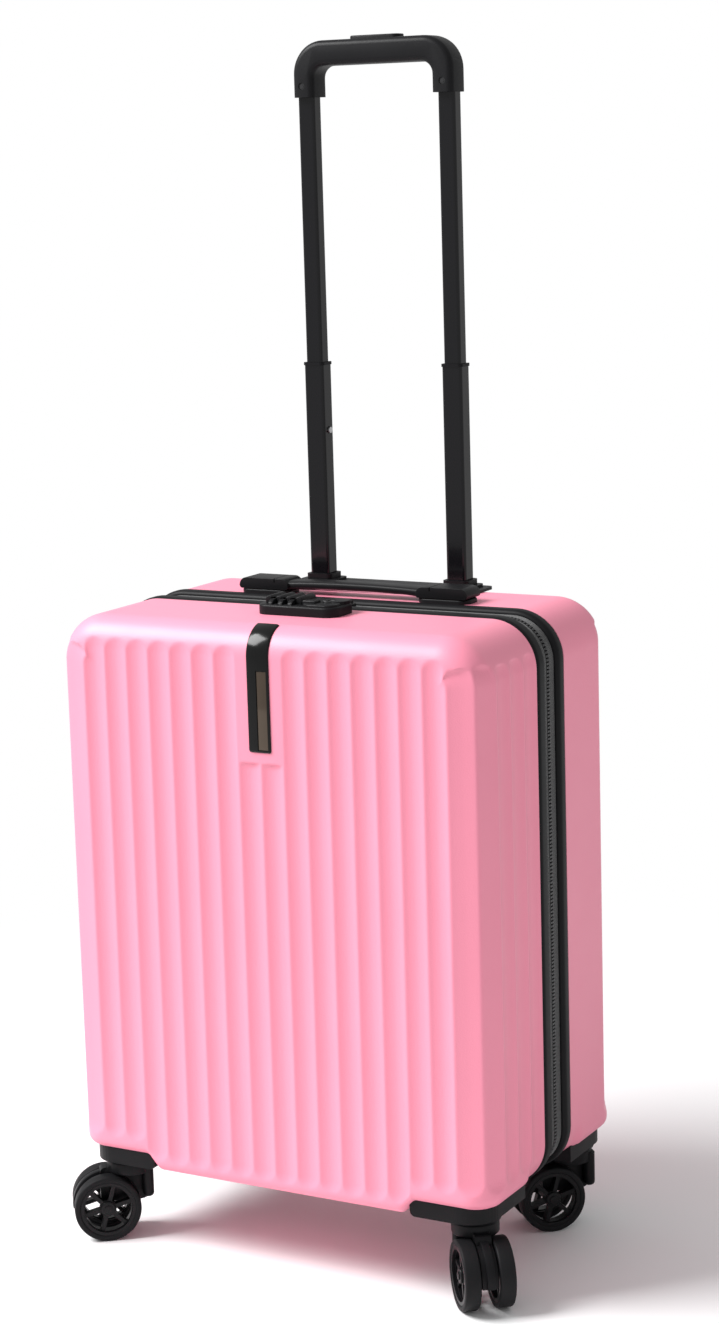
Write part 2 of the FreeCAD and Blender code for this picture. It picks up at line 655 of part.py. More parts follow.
def snap_pins(stage, foot, wide, wall, reach, deep):
    """The snap pins at the foot of one stage, with the guide blocks that hold them."""
    pins = []
    guides = []
    level = "%s + {pin_up}" % foot
    for side in (-1, 1):
        axis = "%d * {tube_spacing} / 2" % side
        half = "((%s) / 2 - (%s) - 0.05)" % (wide, wall)
        depth = "((%s) - 2 * (%s) - 0.1)" % (deep, wall)
        tip = "(%s) + %d * (%s)" % (axis, -side, reach)
        low = "(%s) - 1" % axis if side < 0 else tip
        length = "%s + 1" % reach
        pins.append(rod("%s_pin_%d" % (stage, side + 1), "{pin_radius}", length,
                        (low, "{tube_plane}", level), "x"))
        holder = bar("%s_guide_block_%d" % (stage, side + 1), side, "2 * %s" % half, depth,
                     foot, "2 * {pin_up} - 4", "{tube_round} - {tube_wall}")
        socket = rod("%s_guide_bore_%d" % (stage, side + 1), "{pin_radius} + 0.05", "30",
                     ("(%s) - 1.05" % axis if side < 0 else "(%s) - 28.95" % axis,
                      "{tube_plane}", level), "x")
        if stage == "lower":
            passage = block("%s_guide_passage_%d" % (stage, side + 1),
                            ("2 * {rod_radius} + 2", "2 * {rod_radius} + 2", "60"),
                            ("%s + %d * 4 - {rod_radius} - 1" % (axis, side),
                             "{tube_plane} - {rod_radius} - 1", foot + " - 10"))
            holder = cut("%s_guide_open_%d" % (stage, side + 1), holder, [passage])
        guides.append(cut("%s_guide_%d" % (stage, side + 1), holder, [socket]))
    node(group(stage + "_snap_pins", pins), stage + "_snap_pins")
    node(group(stage + "_pin_guides", guides), stage + "_pin_guides")


def middle_collars():
    """Moulded rings on top of the middle tubes."""
    rings = []
    for side in (-1, 1):
        outside = bar("collar_out_%d" % (side + 1), side, MIDDLE_WIDE + " + 2 * {collar_step}",
                      MIDDLE_DEEP + " + 2 * {collar_step}", "{middle_top}", "{collar_height}",
                      "{tube_round} + {collar_step}")
        inside = bar("collar_in_%d" % (side + 1), side, "{inner_wide} + 2 * {tube_play}",
                     "{inner_deep} + 2 * {tube_play}", "{middle_top} - 1", "6", "{tube_round}")
        rings.append(cut("collar_%d" % (side + 1), outside, [inside]))
    node(group("middle_tube_collars", rings), "middle_tube_collars")


def bezel():
    """The moulding that the columns come out of, screwed to the shell's top."""
    plate = slab("bezel_plate", "xy", "{bezel_width}", "{bezel_deep}", "{bezel_thick}",
                 base="{tube_plane} - {bezel_deep} / 2", start="{case_top}", corner=5)
    pieces = [plate]
    windows = []
    for side in (-1, 1):
        deep = OUTER_DEEP + " + 2.4"
        column = bar("socket_column_%d" % (side + 1), side, OUTER_WIDE + " + 2.4", deep,
                     "{case_top}", "{socket_height}", "{tube_round} + 1.2")
        foot = bar("socket_foot_%d" % (side + 1), side, OUTER_WIDE + " + 2 * {socket_flare}",
                   "{bezel_deep} - 3", "{case_top}", "{socket_height} / 2", "{tube_round} + 2")
        pieces += [column, foot]
        windows.append(bar("socket_window_%d" % (side + 1), side, MIDDLE_WIDE + " + 2 * {tube_play}",
                           MIDDLE_DEEP + " + 2 * {tube_play}", "{case_top} - 2", "40", "{tube_round}"))
        windows.append(bar("socket_rebate_%d" % (side + 1), side, OUTER_WIDE + " + 0.1",
                           OUTER_DEEP + " + 0.1", "{case_top} - 2", "2 + {bezel_thick} + 0.05",
                           "{tube_round}"))
    node(cut("trolley_bezel", joined("bezel_body", pieces), windows), "trolley_bezel")
    feet = []
    for side in (-1, 1):
        foot = bar("foot_block_%d" % (side + 1), side, OUTER_WIDE + " + 12", OUTER_DEEP + " + 6",
                   "{case_base} + {shell_wall} + {recess_rise} + 2", "16", "2")
        pocket = bar("foot_pocket_%d" % (side + 1), side, OUTER_WIDE + " + 0.1", OUTER_DEEP + " + 0.1",
                     "{case_base} + {shell_wall} + {recess_rise} + 5", "30", "{tube_round}")
        feet.append(cut("tube_foot_%d" % (side + 1), foot, [pocket]))
    node(group("tube_feet", feet), "tube_feet")


def grip():
    """The bail that the hand pulls, with the release button and its rods."""
    top = "{leg_bottom} + {grip_height}"
    front = "{tube_plane} - {grip_deep} / 2"
    outline = slab("grip_outline", "xz", "{grip_width}", "{grip_height}", "{grip_deep}",
                   base="{leg_bottom}", start=front)
    upper = size("leg_bottom") + size("grip_height")
    rounded = round_off(outline, outline.Tip, "{grip_outer_round}",
                        lambda edge: along(Vector(0, 1, 0))(edge) and abs(edge.CenterOfMass.z - upper) < 1)
    y_front = size("tube_plane") - size("grip_deep") / 2
    at_front = lying_at("y", y_front)
    at_back = lying_at("y", y_front + size("grip_deep"))
    foot = size("leg_bottom") + 0.5
    round_off(outline, rounded, "{grip_edge}",
              lambda edge: (at_front(edge) or at_back(edge)) and edge.CenterOfMass.z > foot)
    opening = slab("grip_opening", "xz", "{grip_width} - 2 * {grip_leg}",
                   "{grip_height} - {grip_bar} + 20", "{grip_deep} + 4", base="{leg_bottom} - 20",
                   start=front + " - 2", corner="{grip_inner_round}")
    well = slab("button_well", "xy", "{button_length} + 0.6", "{button_wide} + 0.6",
                "12", base="{tube_plane} - {button_wide} / 2 - 0.3", start=top + " - 5.6 - {button_travel}",
                corner="{button_wide} / 2 - 2")
    channel = block("rod_channel", ("{tube_spacing} + 5", "2 * {rod_radius} + 3", "8.5"),
                    ("-{tube_spacing} / 2 - 2.5", "{tube_plane} - {rod_radius} - 1.5", top + " - 18"))
    link = block("button_shaft", (10, 6, 16), (-5, "{tube_plane} - 3", top + " - 18"))
    tools = [opening, well, channel, link]
    for side in (-1, 1):
        tools.append(bar("grip_socket_%d" % (side + 1), side, "{inner_wide} + 0.1", "{inner_deep} + 0.1",
                         "{leg_bottom} - 1", "{socket_depth} + 1.05", "{tube_round}"))
        tools.append(rod("grip_screw_bore_%d" % (side + 1), "{screw_radius} + 1.2", 3.2,
                         ("%d * {tube_spacing} / 2" % side, front + " - 0.1", "{leg_bottom} + 9"), "y"))
        tools.append(rod("grip_screw_hole_%d" % (side + 1), "{screw_radius} + 0.05", 7,
                         ("%d * {tube_spacing} / 2" % side, front + " - 0.1", "{leg_bottom} + 9"), "y"))
        tools.append(block("rod_drop_%d" % (side + 1),
                           ("2 * {rod_radius} + 3", "2 * {rod_radius} + 3", "14"),
                           ("%d * {tube_spacing} / 2 - {rod_radius} - 1.5" % side,
                            "{tube_plane} - {rod_radius} - 1.5", top + " - 28")))
    node(cut("trolley_grip", outline, tools), "trolley_grip")
    cap = slab("button_cap", "xy", "{button_length}", "{button_wide}",
               "{button_proud} + 3", base="{tube_plane} - {button_wide} / 2",
               start=top + " - 3", corner="{button_wide} / 2 - 2.2")
    level = size("leg_bottom") + size("grip_height") + size("button_proud")
    round_off(cap, cap.Tip, "1.2", lying_at("z", level))
    stem = block("button_stem", (8, 4, 9), (-4, "{tube_plane} - 2", top + " - 12"))
    node(joined("release_button", [cap, stem]), "release_button")
    cross = block("rod_yoke_bar", ("{tube_spacing}", "2 * {rod_radius}", "3"),
                  ("-{tube_spacing} / 2", "{tube_plane} - {rod_radius}", top + " - 15.2"))
    legs = [rod("rod_leg_%d" % (side + 1), "{rod_radius}",
                "(%s) - 14 - {inner_bottom} - 2 * {pin_up} - 4" % top,
                ("%d * {tube_spacing} / 2" % side, "{tube_plane}", "{inner_bottom} + 2 * {pin_up} + 4"))
            for side in (-1, 1)]
    node(joined("release_rods", [cross] + legs), "release_rods")
    coil = Part.makeHelix(1.3, 4.0, 3.0)
    profile = Part.Wire(Part.makeCircle(0.4, Vector(3.0, 0, 0), Vector(0, 1, 0)))
    spring = doc.addObject("Part::Feature", "button_spring")
    spring.Shape = Part.Wire(coil).makePipeShell([profile], True, True)
    place(spring, ("12", "{tube_plane}", top + " - 7.5"))
    node(spring, "button_spring")
    screws = []
    for side in (-1, 1):
        x = "%d * {tube_spacing} / 2" % side
        shank = rod("grip_screw_shank_%d" % (side + 1), "{screw_radius}", 5.6,
                    (x, front + " + 0.6", "{leg_bottom} + 9"), "y")
        head = rod("grip_screw_head_%d" % (side + 1), "{screw_radius} + 1", 1.6,
                   (x, front + " + 0.8", "{leg_bottom} + 9"), "y")
        screws.append(joined("grip_screw_%d" % (side + 1), [shank, head]))
    node(group("grip_screws", screws), "grip_screws")


# ---------------------------------------------------------------- carry handle

def carry_handle():
    """A low bar behind the zip whose two end caps rise on posts against springs."""
    front = "{carry_plane} - {carry_wide} / 2"
    base_top = "{case_top} + {carry_mount_high}"
    post_x = "({carry_length} / 2 - {carry_mount} / 2)"
    deck = "{case_top} - {shell_wall}"
    foot = deck + " - ({carry_lift} + {carry_sleeve_spare}) + 1"
    bases = []
    caps = []
    sleeves = []
    springs = []
    for side in (-1, 1):
        tag = "carry_%d_" % (side + 1)
        x = "%d * %s" % (side, post_x)
        spot = (x, "{carry_plane}")
        base = slab(tag + "base", "xy", "{carry_mount}", "{carry_wide}", "{carry_mount_high}",
                    middle=x, base=front, start="{case_top}", corner=8)
        passage = rod(tag + "base_bore", "{carry_post} + 0.1", 20, spot + ("{case_top} - 5",))
        bases.append(cut(tag + "base_open", base, [passage]))
        cap = slab(tag + "cap", "xy", "{carry_mount}", "{carry_wide}",
                   "{carry_high} - {carry_mount_high} - {joint_gap}",
                   middle=x, base=front, start=base_top + " + {joint_gap}", corner=8)
        level = size("case_top") + size("carry_high")
        round_off(cap, cap.Tip, "3.5", lying_at("z", level))
        post = rod(tag + "post", "{carry_post}", base_top + " + 1 - (%s)" % foot, spot + (foot,))
        washer = rod(tag + "washer", "{carry_sleeve} - 1.6", "1.5", spot + (foot,))
        caps += [cap, post, washer]
        sleeve = rod(tag + "sleeve", "{carry_sleeve}", "({carry_lift} + {carry_sleeve_spare})",
                     spot + (deck + " - ({carry_lift} + {carry_sleeve_spare})",))
        room = rod(tag + "sleeve_room", "{carry_sleeve} - 1.3", "({carry_lift} + {carry_sleeve_spare}) - 2",
                   spot + (deck + " - ({carry_lift} + {carry_sleeve_spare}) - 1",))
        bore = rod(tag + "sleeve_bore", "{carry_post} + 0.05", 40, spot + (deck + " - 38",))
        sleeves.append(cut(tag + "sleeve_open", sleeve, [room, bore]))
        length = size("carry_lift") + size("carry_sleeve_spare") - 4 - 1.5 - 1.1
        radius = size("carry_post") + 1.15
        coil = Part.makeHelix(length / SPRING_TURNS, length, radius)
        wire = Part.Wire(Part.makeCircle(0.55, Vector(radius, 0, 0), Vector(0, 1, 0)))
        spring = doc.addObject("Part::Feature", tag + "spring")
        spring.Shape = Part.Wire(coil).makePipeShell([wire], True, True)
        springs.append(place(spring, spot + (foot + " + 1.5 + 0.55",)))
    node(group("carry_bases", bases), "carry_handle_bases")
    bar_length = "{carry_length} - 2 * {carry_mount} + 8"
    grip_bar = slab("carry_bar", "xy", bar_length, "{carry_wide} - 2",
                    "{carry_high} - {carry_gap} - 0.6", base=front + " + 1",
                    start="{case_top} + {carry_gap}", corner=2)
    level = size("case_top") + size("carry_high") - 0.6
    round_off(grip_bar, grip_bar.Tip, "2.5", lying_at("z", level))
    node(joined("carry_grip_body", caps + [grip_bar]), "carry_handle_grip")
    node(group("carry_sleeves", sleeves), "carry_handle_sleeves")
    node(group("carry_coils", springs), "carry_handle_springs")


# ---------------------------------------------------------------- lock and badge

def lock():
    """A combination lock let onto the front shell's top."""
    front = "-{lock_front}"
    case = slab("lock_case_block", "xy", "{lock_length}", "{lock_deep}", "{lock_high}",
                base=front, start="{case_top}", corner=11)
    level = size("case_top") + size("lock_high")
    round_off(case, case.Tip, "2.6", lying_at("z", level))
    tools = []
    dial_y = front + " + 9"
    dial_z = "{case_top} + {dial_radius} + 0.6"
    for index in range(3):
        x = "{dial_first} + %d * {dial_pitch}" % index
        tools.append(rod("dial_well_%d" % index, "{dial_radius} + 0.5", "{dial_wide} + 0.8",
                         (x + " - {dial_wide} / 2 - 0.4", dial_y, dial_z), "x"))
    spindle_start = "{dial_first} - 8"
    spindle_run = "2 * {dial_pitch} + 16"
    tools.append(rod("dial_spindle_bore", "1.25", spindle_run, (spindle_start, dial_y, dial_z), "x"))
    tools.append(rod("key_bore", "{key_radius} + 0.05", 30,
                     ("{lock_length} / 2 - 15", front + " + {lock_deep} / 2", "{case_top} + 3")))
    button_foot = "{case_top} + {lock_high} + {lock_button_travel} - 6"
    tools.append(block("release_slot", (12.6, 9.6, 30),
                       (2.7, front + " + 8.2", button_foot + " - {lock_button_travel} - 0.3")))
    for side in (-1, 1):
        tools.append(block("puller_notch_%d" % (side + 1), (6.4, 7, 20),
                           ("%d * 11 - 3.2" % side, front + " + {lock_deep} - 6", "{case_top} + 3.6")))
    node(cut("lock_case", case, tools), "lock_case")
    node(rod("lock_spindle", "1.2", spindle_run + " - 0.2",
             ("{dial_first} - 7.9", dial_y, dial_z), "x"), "lock_spindle")
    for index in range(3):
        x = "{dial_first} + %d * {dial_pitch}" % index
        disc = rod("dial_disc_%d" % index, "{dial_radius}", "{dial_wide}",
                   (x + " - {dial_wide} / 2", dial_y, dial_z), "x")
        bore = rod("dial_bore_%d" % index, "1.25", "{dial_wide} + 2",
                   (x + " - {dial_wide} / 2 - 1", dial_y, dial_z), "x")
        node(cut("lock_dial_%d" % (index + 1), disc, [bore]), "lock_dial_%d" % (index + 1))
    button = block("lock_release_button", (12, 9, 6), (3, front + " + 8.5", button_foot))
    node(button, "lock_release_button")
    plug = rod("key_plug", "{key_radius}", "{lock_high} - 2.6",
               ("{lock_length} / 2 - 15", front + " + {lock_deep} / 2", "{case_top} + 3.1"))
    keyway = block("keyway", (1.2, 5, 6),
                   ("{lock_length} / 2 - 15.6", front + " + {lock_deep} / 2 - 2.5",
                    "{case_top} + {lock_high} - 3"))
    node(cut("lock_key_cylinder", plug, [keyway]), "lock_key_cylinder")


def badge():
    """A trim strip let into the front, bent over the top front edge, with a glossy inlay."""
    half = size("badge_width") / 2
    bottom = size("badge_bottom")
    top = size("case_top")
    face = -size("front_face")
    edge = size("face_edge")
    proud = size("badge_proud")
    split = top - edge - 8

    def strip(inside, outside, half_width, low, high_angle):
        """Section of the strip in the plane across X, swept over its width."""
        centre = Vector(0, face + edge, top - edge)

        def arc_point(radius, degrees):
            angle = math.radians(degrees)
            return centre + Vector(0, -radius * math.cos(angle), radius * math.sin(angle))
        outer = edge + outside
        inner = edge + inside
        lines = [Part.LineSegment(Vector(0, face - inside, low), Vector(0, face - outside, low)),
                 Part.LineSegment(Vector(0, face - outside, low), arc_point(outer, 0)),
                 Part.Arc(arc_point(outer, 0), arc_point(outer, high_angle / 2), arc_point(outer, high_angle)),
                 Part.LineSegment(arc_point(outer, high_angle), arc_point(inner, high_angle)),
                 Part.Arc(arc_point(inner, high_angle), arc_point(inner, high_angle / 2), arc_point(inner, 0)),
                 Part.LineSegment(arc_point(inner, 0), Vector(0, face - inside, low))]
        section = Part.Face(Part.Wire([line.toShape() for line in lines]))
        section.translate(Vector(-half_width, 0, 0))
        return section.extrude(Vector(2 * half_width, 0, 0))

    trim = strip(0.05, proud, half, bottom, 80)
    window = Part.makeBox(2 * half - 4, 10, split - bottom - 4, Vector(-half + 2, face - 5, bottom + 2))
    frame = doc.addObject("Part::Feature", "badge_trim")
    frame.Shape = trim.cut(window)
    node(frame, "badge_trim")
    inlay = doc.addObject("Part::Feature", "badge_inlay")
    inlay.Shape = Part.makeBox(2 * half - 4.2, proud - 0.5, split - bottom - 4.2,
                               Vector(-half + 2.1, face - proud + 0.4, bottom + 2.1))
    node(inlay, "badge_inlay")


# ---------------------------------------------------------------- casters

def housing(corner, side_x, side_y):
    """The moulded corner that fills the shell's recess and carries a caster."""
    gap = "0.4"
    width = "{case_width} / 2 - {recess_inner} - 7"
    length = "{recess_depth} - 5"
    x_mid = "%d * ({recess_inner} + %s + (%s) / 2)" % (side_x, gap, width)
    low = "-{front_face} + 4" if side_y < 0 else "{rear_face} - 4 - (%s)" % length
    plate = slab(corner + "_plate", "xy", width, length, "{recess_rise} - %s + 1" % gap,
                 middle=x_mid, base=low, start="{case_base} - 1", corner=14)
    axis = ("%d * {swivel_inset_x}" % side_x, "%d * {swivel_inset_y}" % side_y, "{case_base} - 1")
    boss = rod(corner + "_boss", "{spindle_radius} + 4.6", "{recess_rise} + {shell_wall} + 4",
               axis)
    skirt = cone(corner + "_skirt", "{neck_radius} - 1", "{neck_radius} + 2", "3",
                 (axis[0], axis[1], "{case_base} - 4"))
    bore = rod(corner + "_bore", "{spindle_radius} + 0.05", "{recess_rise} + 6",
               (axis[0], axis[1], "{case_base} - 5"))
    holes = [rod("%s_screw_hole_%d" % (corner, i), "{screw_radius} + 0.05", 60,
                 ("%s + %s" % (axis[0], dx), "%s + %s" % (axis[1], dy), "{case_base} - 10"))
             for i, (dx, dy) in enumerate(screw_spots(side_x, side_y))]
    name = "wheel_housing_" + corner
    return cut(name, joined(corner + "_housing_body", [plate, boss, skirt]), [bore] + holes)


def screw_spots(side_x, side_y):
    """Three screws round a caster, off its corner."""
    return [(-side_x * 34, side_y * 4), (-side_x * 26, -side_y * 26), (side_x * 8, -side_y * 33)]


def housing_screws(face, side_y):
    screws = []
    for side_x in (-1, 1):
        for i, (dx, dy) in enumerate(screw_spots(side_x, side_y)):
            x = "%d * {swivel_inset_x} + %s" % (side_x, dx)
            y = "%d * {swivel_inset_y} + %s" % (side_y, dy)
            tag = "%s_screw_%d_%d" % (face, side_x + 1, i)
            shank = rod(tag + "_shank", "{screw_radius}", "{recess_rise} + {shell_wall}",
                        (x, y, "{case_base} - 0.5"))
            head = rod(tag + "_head", "{screw_radius} + 1.6", "1.4", (x, y, "{case_base} - 2.4"))
            screws.append(joined(tag, [shank, head]))
    node(group(face + "_housing_screws", screws), face + "_housing_screws")


def caster(corner, side_x, side_y, heading):
    """Fork, axle and two wheels, turned about the swivel to its heading."""
    spot = ("%d * {swivel_inset_x}" % side_x, "%d * {swivel_inset_y}" % side_y, "0")
    turn = Rotation(Vector(0, 0, 1), heading)

    def settled(pieces, label):
        """Turns pieces that were built on the Z axis, trailing along +X."""
        holder = doc.addObject("Part::Compound", label)
        holder.Links = pieces
        holder.Placement = Placement(Vector(), turn)
        for axis, expression in zip(AXES, spot):
            bind(holder, "Placement.Base." + axis, expression)
        return node(holder, label)

    top = "{case_base} - 4.4"
    neck = rod(corner + "_neck", "{neck_radius} - 1.5", "9", (0, 0, top + " - 9"))
    cheek = block(corner + "_cheek", ("{neck_radius} + {caster_trail} - 6", "{fork_width}", "{case_base} - 4.4 - 3 - 13"),
                  ("-{neck_radius} + 4", "-{fork_width} / 2", "16"))
    nose = rod(corner + "_nose", "12", "{fork_width}", ("{caster_trail}", "-{fork_width} / 2", "{wheel_radius}"), "y")
    guard = rod(corner + "_guard", "{wheel_radius} + 3.4", "{fork_width}",
                ("{caster_trail}", "-{fork_width} / 2", "{wheel_radius}"), "y")
    guard_room = block(corner + "_guard_room", (90, 60, 40), ("-45 + {caster_trail}", -30, "{wheel_radius} - 44"))
    guard = cut(corner + "_guard_top", guard, [guard_room])
    spindle = rod(corner + "_spindle", "{spindle_radius}", "{recess_rise} - 2 + 6", (0, 0, top + " - 1"))
    hole = rod(corner + "_axle_hole", "{axle_radius} + 0.05", 60, ("{caster_trail}", -30, "{wheel_radius}"), "y")
    neck_trim = block(corner + "_neck_trim", (80, 60, 40), ("{caster_trail} + {wheel_radius}", -30, 20))
    fork = cut(corner + "_fork_body", joined(corner + "_fork_pieces", [neck, cheek, nose, guard, spindle]),
               [hole, neck_trim])
    axle = rod(corner + "_axle", "{axle_radius}", "2 * {wheel_width} + {wheel_gap} - 3",
               ("{caster_trail}", "-{wheel_width} - {wheel_gap} / 2 + 1.5", "{wheel_radius}"), "y")
    settled([fork, axle], "caster_fork_" + corner)
    for label, side in (("left", 1), ("right", -1)):
        start = "{wheel_gap} / 2" if side > 0 else "-{wheel_gap} / 2 - {wheel_width}"
        centre = ("{caster_trail}", start, "{wheel_radius}")
        tag = corner + "_" + label
        disc = rod(tag + "_disc", "{wheel_radius} - {tyre_thick}", "{wheel_width}", centre, "y")
        face_y = "{wheel_gap} / 2 + {wheel_width} - 3" if side > 0 else start + " - 1"
        dish = rod(tag + "_dish", "{wheel_radius} - {tyre_thick} - 3", "4",
                   ("{caster_trail}", face_y, "{wheel_radius}"), "y")
        hub = rod(tag + "_hub", "6.5", "{wheel_width} - 1",
                  ("{caster_trail}", start if side > 0 else start + " + 1", "{wheel_radius}"), "y")
        bore = rod(tag + "_bore", "{axle_radius} + 0.06", 60, ("{caster_trail}", -30, "{wheel_radius}"), "y")
        windows = []
        for index in range(WINDOWS):
            angle = math.radians(360 / WINDOWS * index)
            reach = 13.4
            windows.append(rod("%s_window_%d" % (tag, index), "3.9", 60,
                               ("{caster_trail} + %.4f" % (reach * math.cos(angle)), -30,
                                "{wheel_radius} + %.4f" % (reach * math.sin(angle))), "y"))
        dished = cut(tag + "_dished", disc, [dish])
        body = cut(tag + "_wheel", joined(tag + "_wheel_body", [dished, hub]), [bore] + windows)
        ring = rod(tag + "_tyre_out", "{wheel_radius}", "{wheel_width}", centre, "y")
        gap = rod(tag + "_tyre_in", "{wheel_radius} - {tyre_thick}", "{wheel_width} + 2",
                  ("{caster_trail}", "(%s) - 1" % start, "{wheel_radius}"), "y")
        settled([body, cut(tag + "_tyre", ring, [gap])], "wheel_%s_%s" % (corner, label))


def build():
    shell("front")
    shell("rear")
    zip_band()
    zip_pulls()
    lining("front")
    lining("rear")
    packing_straps()
    tubes()
    middle_collars()
    bezel()
    grip()
    carry_handle()
    lock()
    badge()
    housings = {"front": [], "rear": []}
    for corner, (side_x, side_y, heading) in CASTERS.items():
        housings[corner.split("_")[0]].append(housing(corner, side_x, side_y))
        caster(corner, side_x, side_y, heading)
    for face, pair in housings.items():
        node(group(face + "_housings", pair), face + "_wheel_housings")
    housing_screws("front", -1)
    housing_screws("rear", 1)


def check():
    for obj in doc.Objects:
        if "Invalid" in obj.State or "Error" in obj.State:
            raise RuntimeError("%s did not build: %s" % (obj.Name, obj.State))
    for obj in nodes:
        if obj.Shape.isNull() or not obj.Shape.isValid() or not obj.Shape.Solids:
            raise RuntimeError(obj.Label + " has no valid solid")


def export():
    os.makedirs("parts", exist_ok=True)
    for obj in nodes:
        obj.Shape.exportStep(os.path.join("parts", obj.Label + ".step"))
        box = obj.Shape.BoundBox
        print("%-26s %2d solids  %9.0f mm3  X %.1f..%.1f  Y %.1f..%.1f  Z %.1f..%.1f" % (
            obj.Label, len(obj.Shape.Solids), obj.Shape.Volume,
            box.XMin, box.XMax, box.YMin, box.YMax, box.ZMin, box.ZMax))
    print(len(nodes), "nodes")


build()
doc.recompute()
check()
export()
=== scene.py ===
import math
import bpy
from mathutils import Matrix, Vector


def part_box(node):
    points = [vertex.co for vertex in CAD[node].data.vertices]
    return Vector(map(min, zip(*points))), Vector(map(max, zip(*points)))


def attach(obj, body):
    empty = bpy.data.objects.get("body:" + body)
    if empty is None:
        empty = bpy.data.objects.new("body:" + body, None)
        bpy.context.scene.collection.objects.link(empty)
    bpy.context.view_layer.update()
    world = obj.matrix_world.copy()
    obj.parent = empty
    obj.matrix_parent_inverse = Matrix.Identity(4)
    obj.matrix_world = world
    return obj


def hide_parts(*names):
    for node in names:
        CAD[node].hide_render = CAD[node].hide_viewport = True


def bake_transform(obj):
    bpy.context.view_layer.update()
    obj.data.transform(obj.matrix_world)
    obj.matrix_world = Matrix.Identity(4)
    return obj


bl_info = {
    "name": "Spinner Suitcase",
    "version": (1, 0),
    "blender": (4, 5, 0),
    "location": "View3D > Sidebar > Suitcase",
    "description": "Dresses the packed frame of a fluted hard shell cabin case",
    "category": "Object",
}

import bmesh
import bpy
import numpy as np
from mathutils import Matrix, Vector

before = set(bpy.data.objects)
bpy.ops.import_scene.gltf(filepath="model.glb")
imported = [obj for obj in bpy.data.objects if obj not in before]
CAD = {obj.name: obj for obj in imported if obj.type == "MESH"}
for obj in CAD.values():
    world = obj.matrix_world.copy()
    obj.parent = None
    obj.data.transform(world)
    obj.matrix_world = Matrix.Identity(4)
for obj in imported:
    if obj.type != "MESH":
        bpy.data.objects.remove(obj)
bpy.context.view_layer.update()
MM = 0.001


def corners(node):
    """A node's lowest and highest corners, in millimetres."""
    low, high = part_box(node)
    return np.array(low) / MM, np.array(high) / MM


FRONT_LOW, FRONT_HIGH = corners("front_shell")
REAR_LOW, REAR_HIGH = corners("rear_shell")
WIDTH = FRONT_HIGH[0] - FRONT_LOW[0]
TOP = FRONT_HIGH[2]
BASE = FRONT_LOW[2]
OUTLINE_CORNER = 38.0
FACE_EDGE = 24.0
BAND_ARC = FACE_EDGE * math.pi / 2


# ------------------------------------------------------------------ settings

def number(name, text, default, **limits):
    return bpy.props.FloatProperty(name=name, description=text, default=default, **limits)


def tint(name, text, default):
    return bpy.props.FloatVectorProperty(name=name, description=text, subtype="COLOR", size=4,
                                         min=0.0, max=1.0, default=default)


class ShellSettings(bpy.types.PropertyGroup):
    """Sizes and colour of the two fluted shells."""

    flute_pitch: number("Flute pitch", "Pitch of the flutes on a face, in mm", 20.53)
    flute_depth: number("Flute depth", "Depth of a flute on a face, in mm", 2.3)
    flute_top: number("Flute top", "Arched flute tops below the shell's top, in mm", 15.0)
    colour: tint("Shell colour", "Colour of the moulded shells", (0.90, 0.285, 0.40, 1.0))
    roughness: number("Shell roughness", "Dullness of the shells", 0.46, min=0.0, max=1.0)


class TrimSettings(bpy.types.PropertyGroup):
    """Colours of everything that isn't a shell."""

    plastic: tint("Plastic", "Colour of the moulded black parts", (0.007, 0.007, 0.008, 1.0))
    cloth: tint("Lining", "Colour of the lining cloth", (0.16, 0.16, 0.17, 1.0))
    teeth_pitch: number("Zip pitch", "Pitch of the zip's teeth, in mm", 3.0)


class StageSettings(bpy.types.PropertyGroup):
    """Floor, light and camera."""

    floor: tint("Floor", "Colour of the floor", (0.93, 0.93, 0.935, 1.0))
    key_power: number("Key light", "Power of the large soft light, in watts", 150.0)
    ambient: number("Ambient", "Strength of the even light all round", 0.55)
    lens: number("Lens", "Focal length of the camera, in mm", 75.54)


# ------------------------------------------------------------------ modelling tools

def leave_edit():
    bpy.ops.object.mode_set(mode="OBJECT")


def deselect():
    if bpy.context.object and bpy.context.object.mode != "OBJECT":
        leave_edit()
    bpy.ops.object.select_all(action="DESELECT")


def only(obj):
    """Selects one object and makes it the active one."""
    deselect()
    obj.select_set(True)
    bpy.context.view_layer.objects.active = obj


def settle(obj):
    """Puts an object's place, turn and size into its mesh."""
    only(obj)
    bpy.ops.object.transform_apply(location=True, rotation=True, scale=True)
    return obj


def block(low, high):
    """A box between two corners, in millimetres."""
    low, high = np.array(low, float), np.array(high, float)
    deselect()
    bpy.ops.mesh.primitive_cube_add(size=1, location=(low + high) / 2 * MM)
    obj = bpy.context.object
    obj.scale = (high - low) * MM
    return settle(obj)


AXIS_TURN = {"x": (0, math.pi / 2, 0), "y": (math.pi / 2, 0, 0), "z": (0, 0, 0)}


def drum(centre, radius, length, axis="z", sides=48):
    """A cylinder about a centre, in millimetres."""
    deselect()
    bpy.ops.mesh.primitive_cylinder_add(
        vertices=sides, radius=radius * MM, depth=length * MM,
        location=np.array(centre, float) * MM, rotation=AXIS_TURN[axis])
    return settle(bpy.context.object)


def edit_pick(obj, kind, test):
    """Enters edit mode with only the edges or faces that a test picks selected."""
    only(obj)
    bpy.ops.object.mode_set(mode="EDIT")
    bpy.ops.mesh.select_mode(type=kind)
    bpy.ops.mesh.select_all(action="DESELECT")
    mesh = bmesh.from_edit_mesh(obj.data)
    mesh.normal_update()
    items = {"EDGE": mesh.edges, "FACE": mesh.faces, "VERT": mesh.verts}[kind]
    count = 0
    for item in items:
        if test(item):
            item.select_set(True)
            count += 1
    mesh.select_flush_mode()
    bmesh.update_edit_mesh(obj.data)
    return count


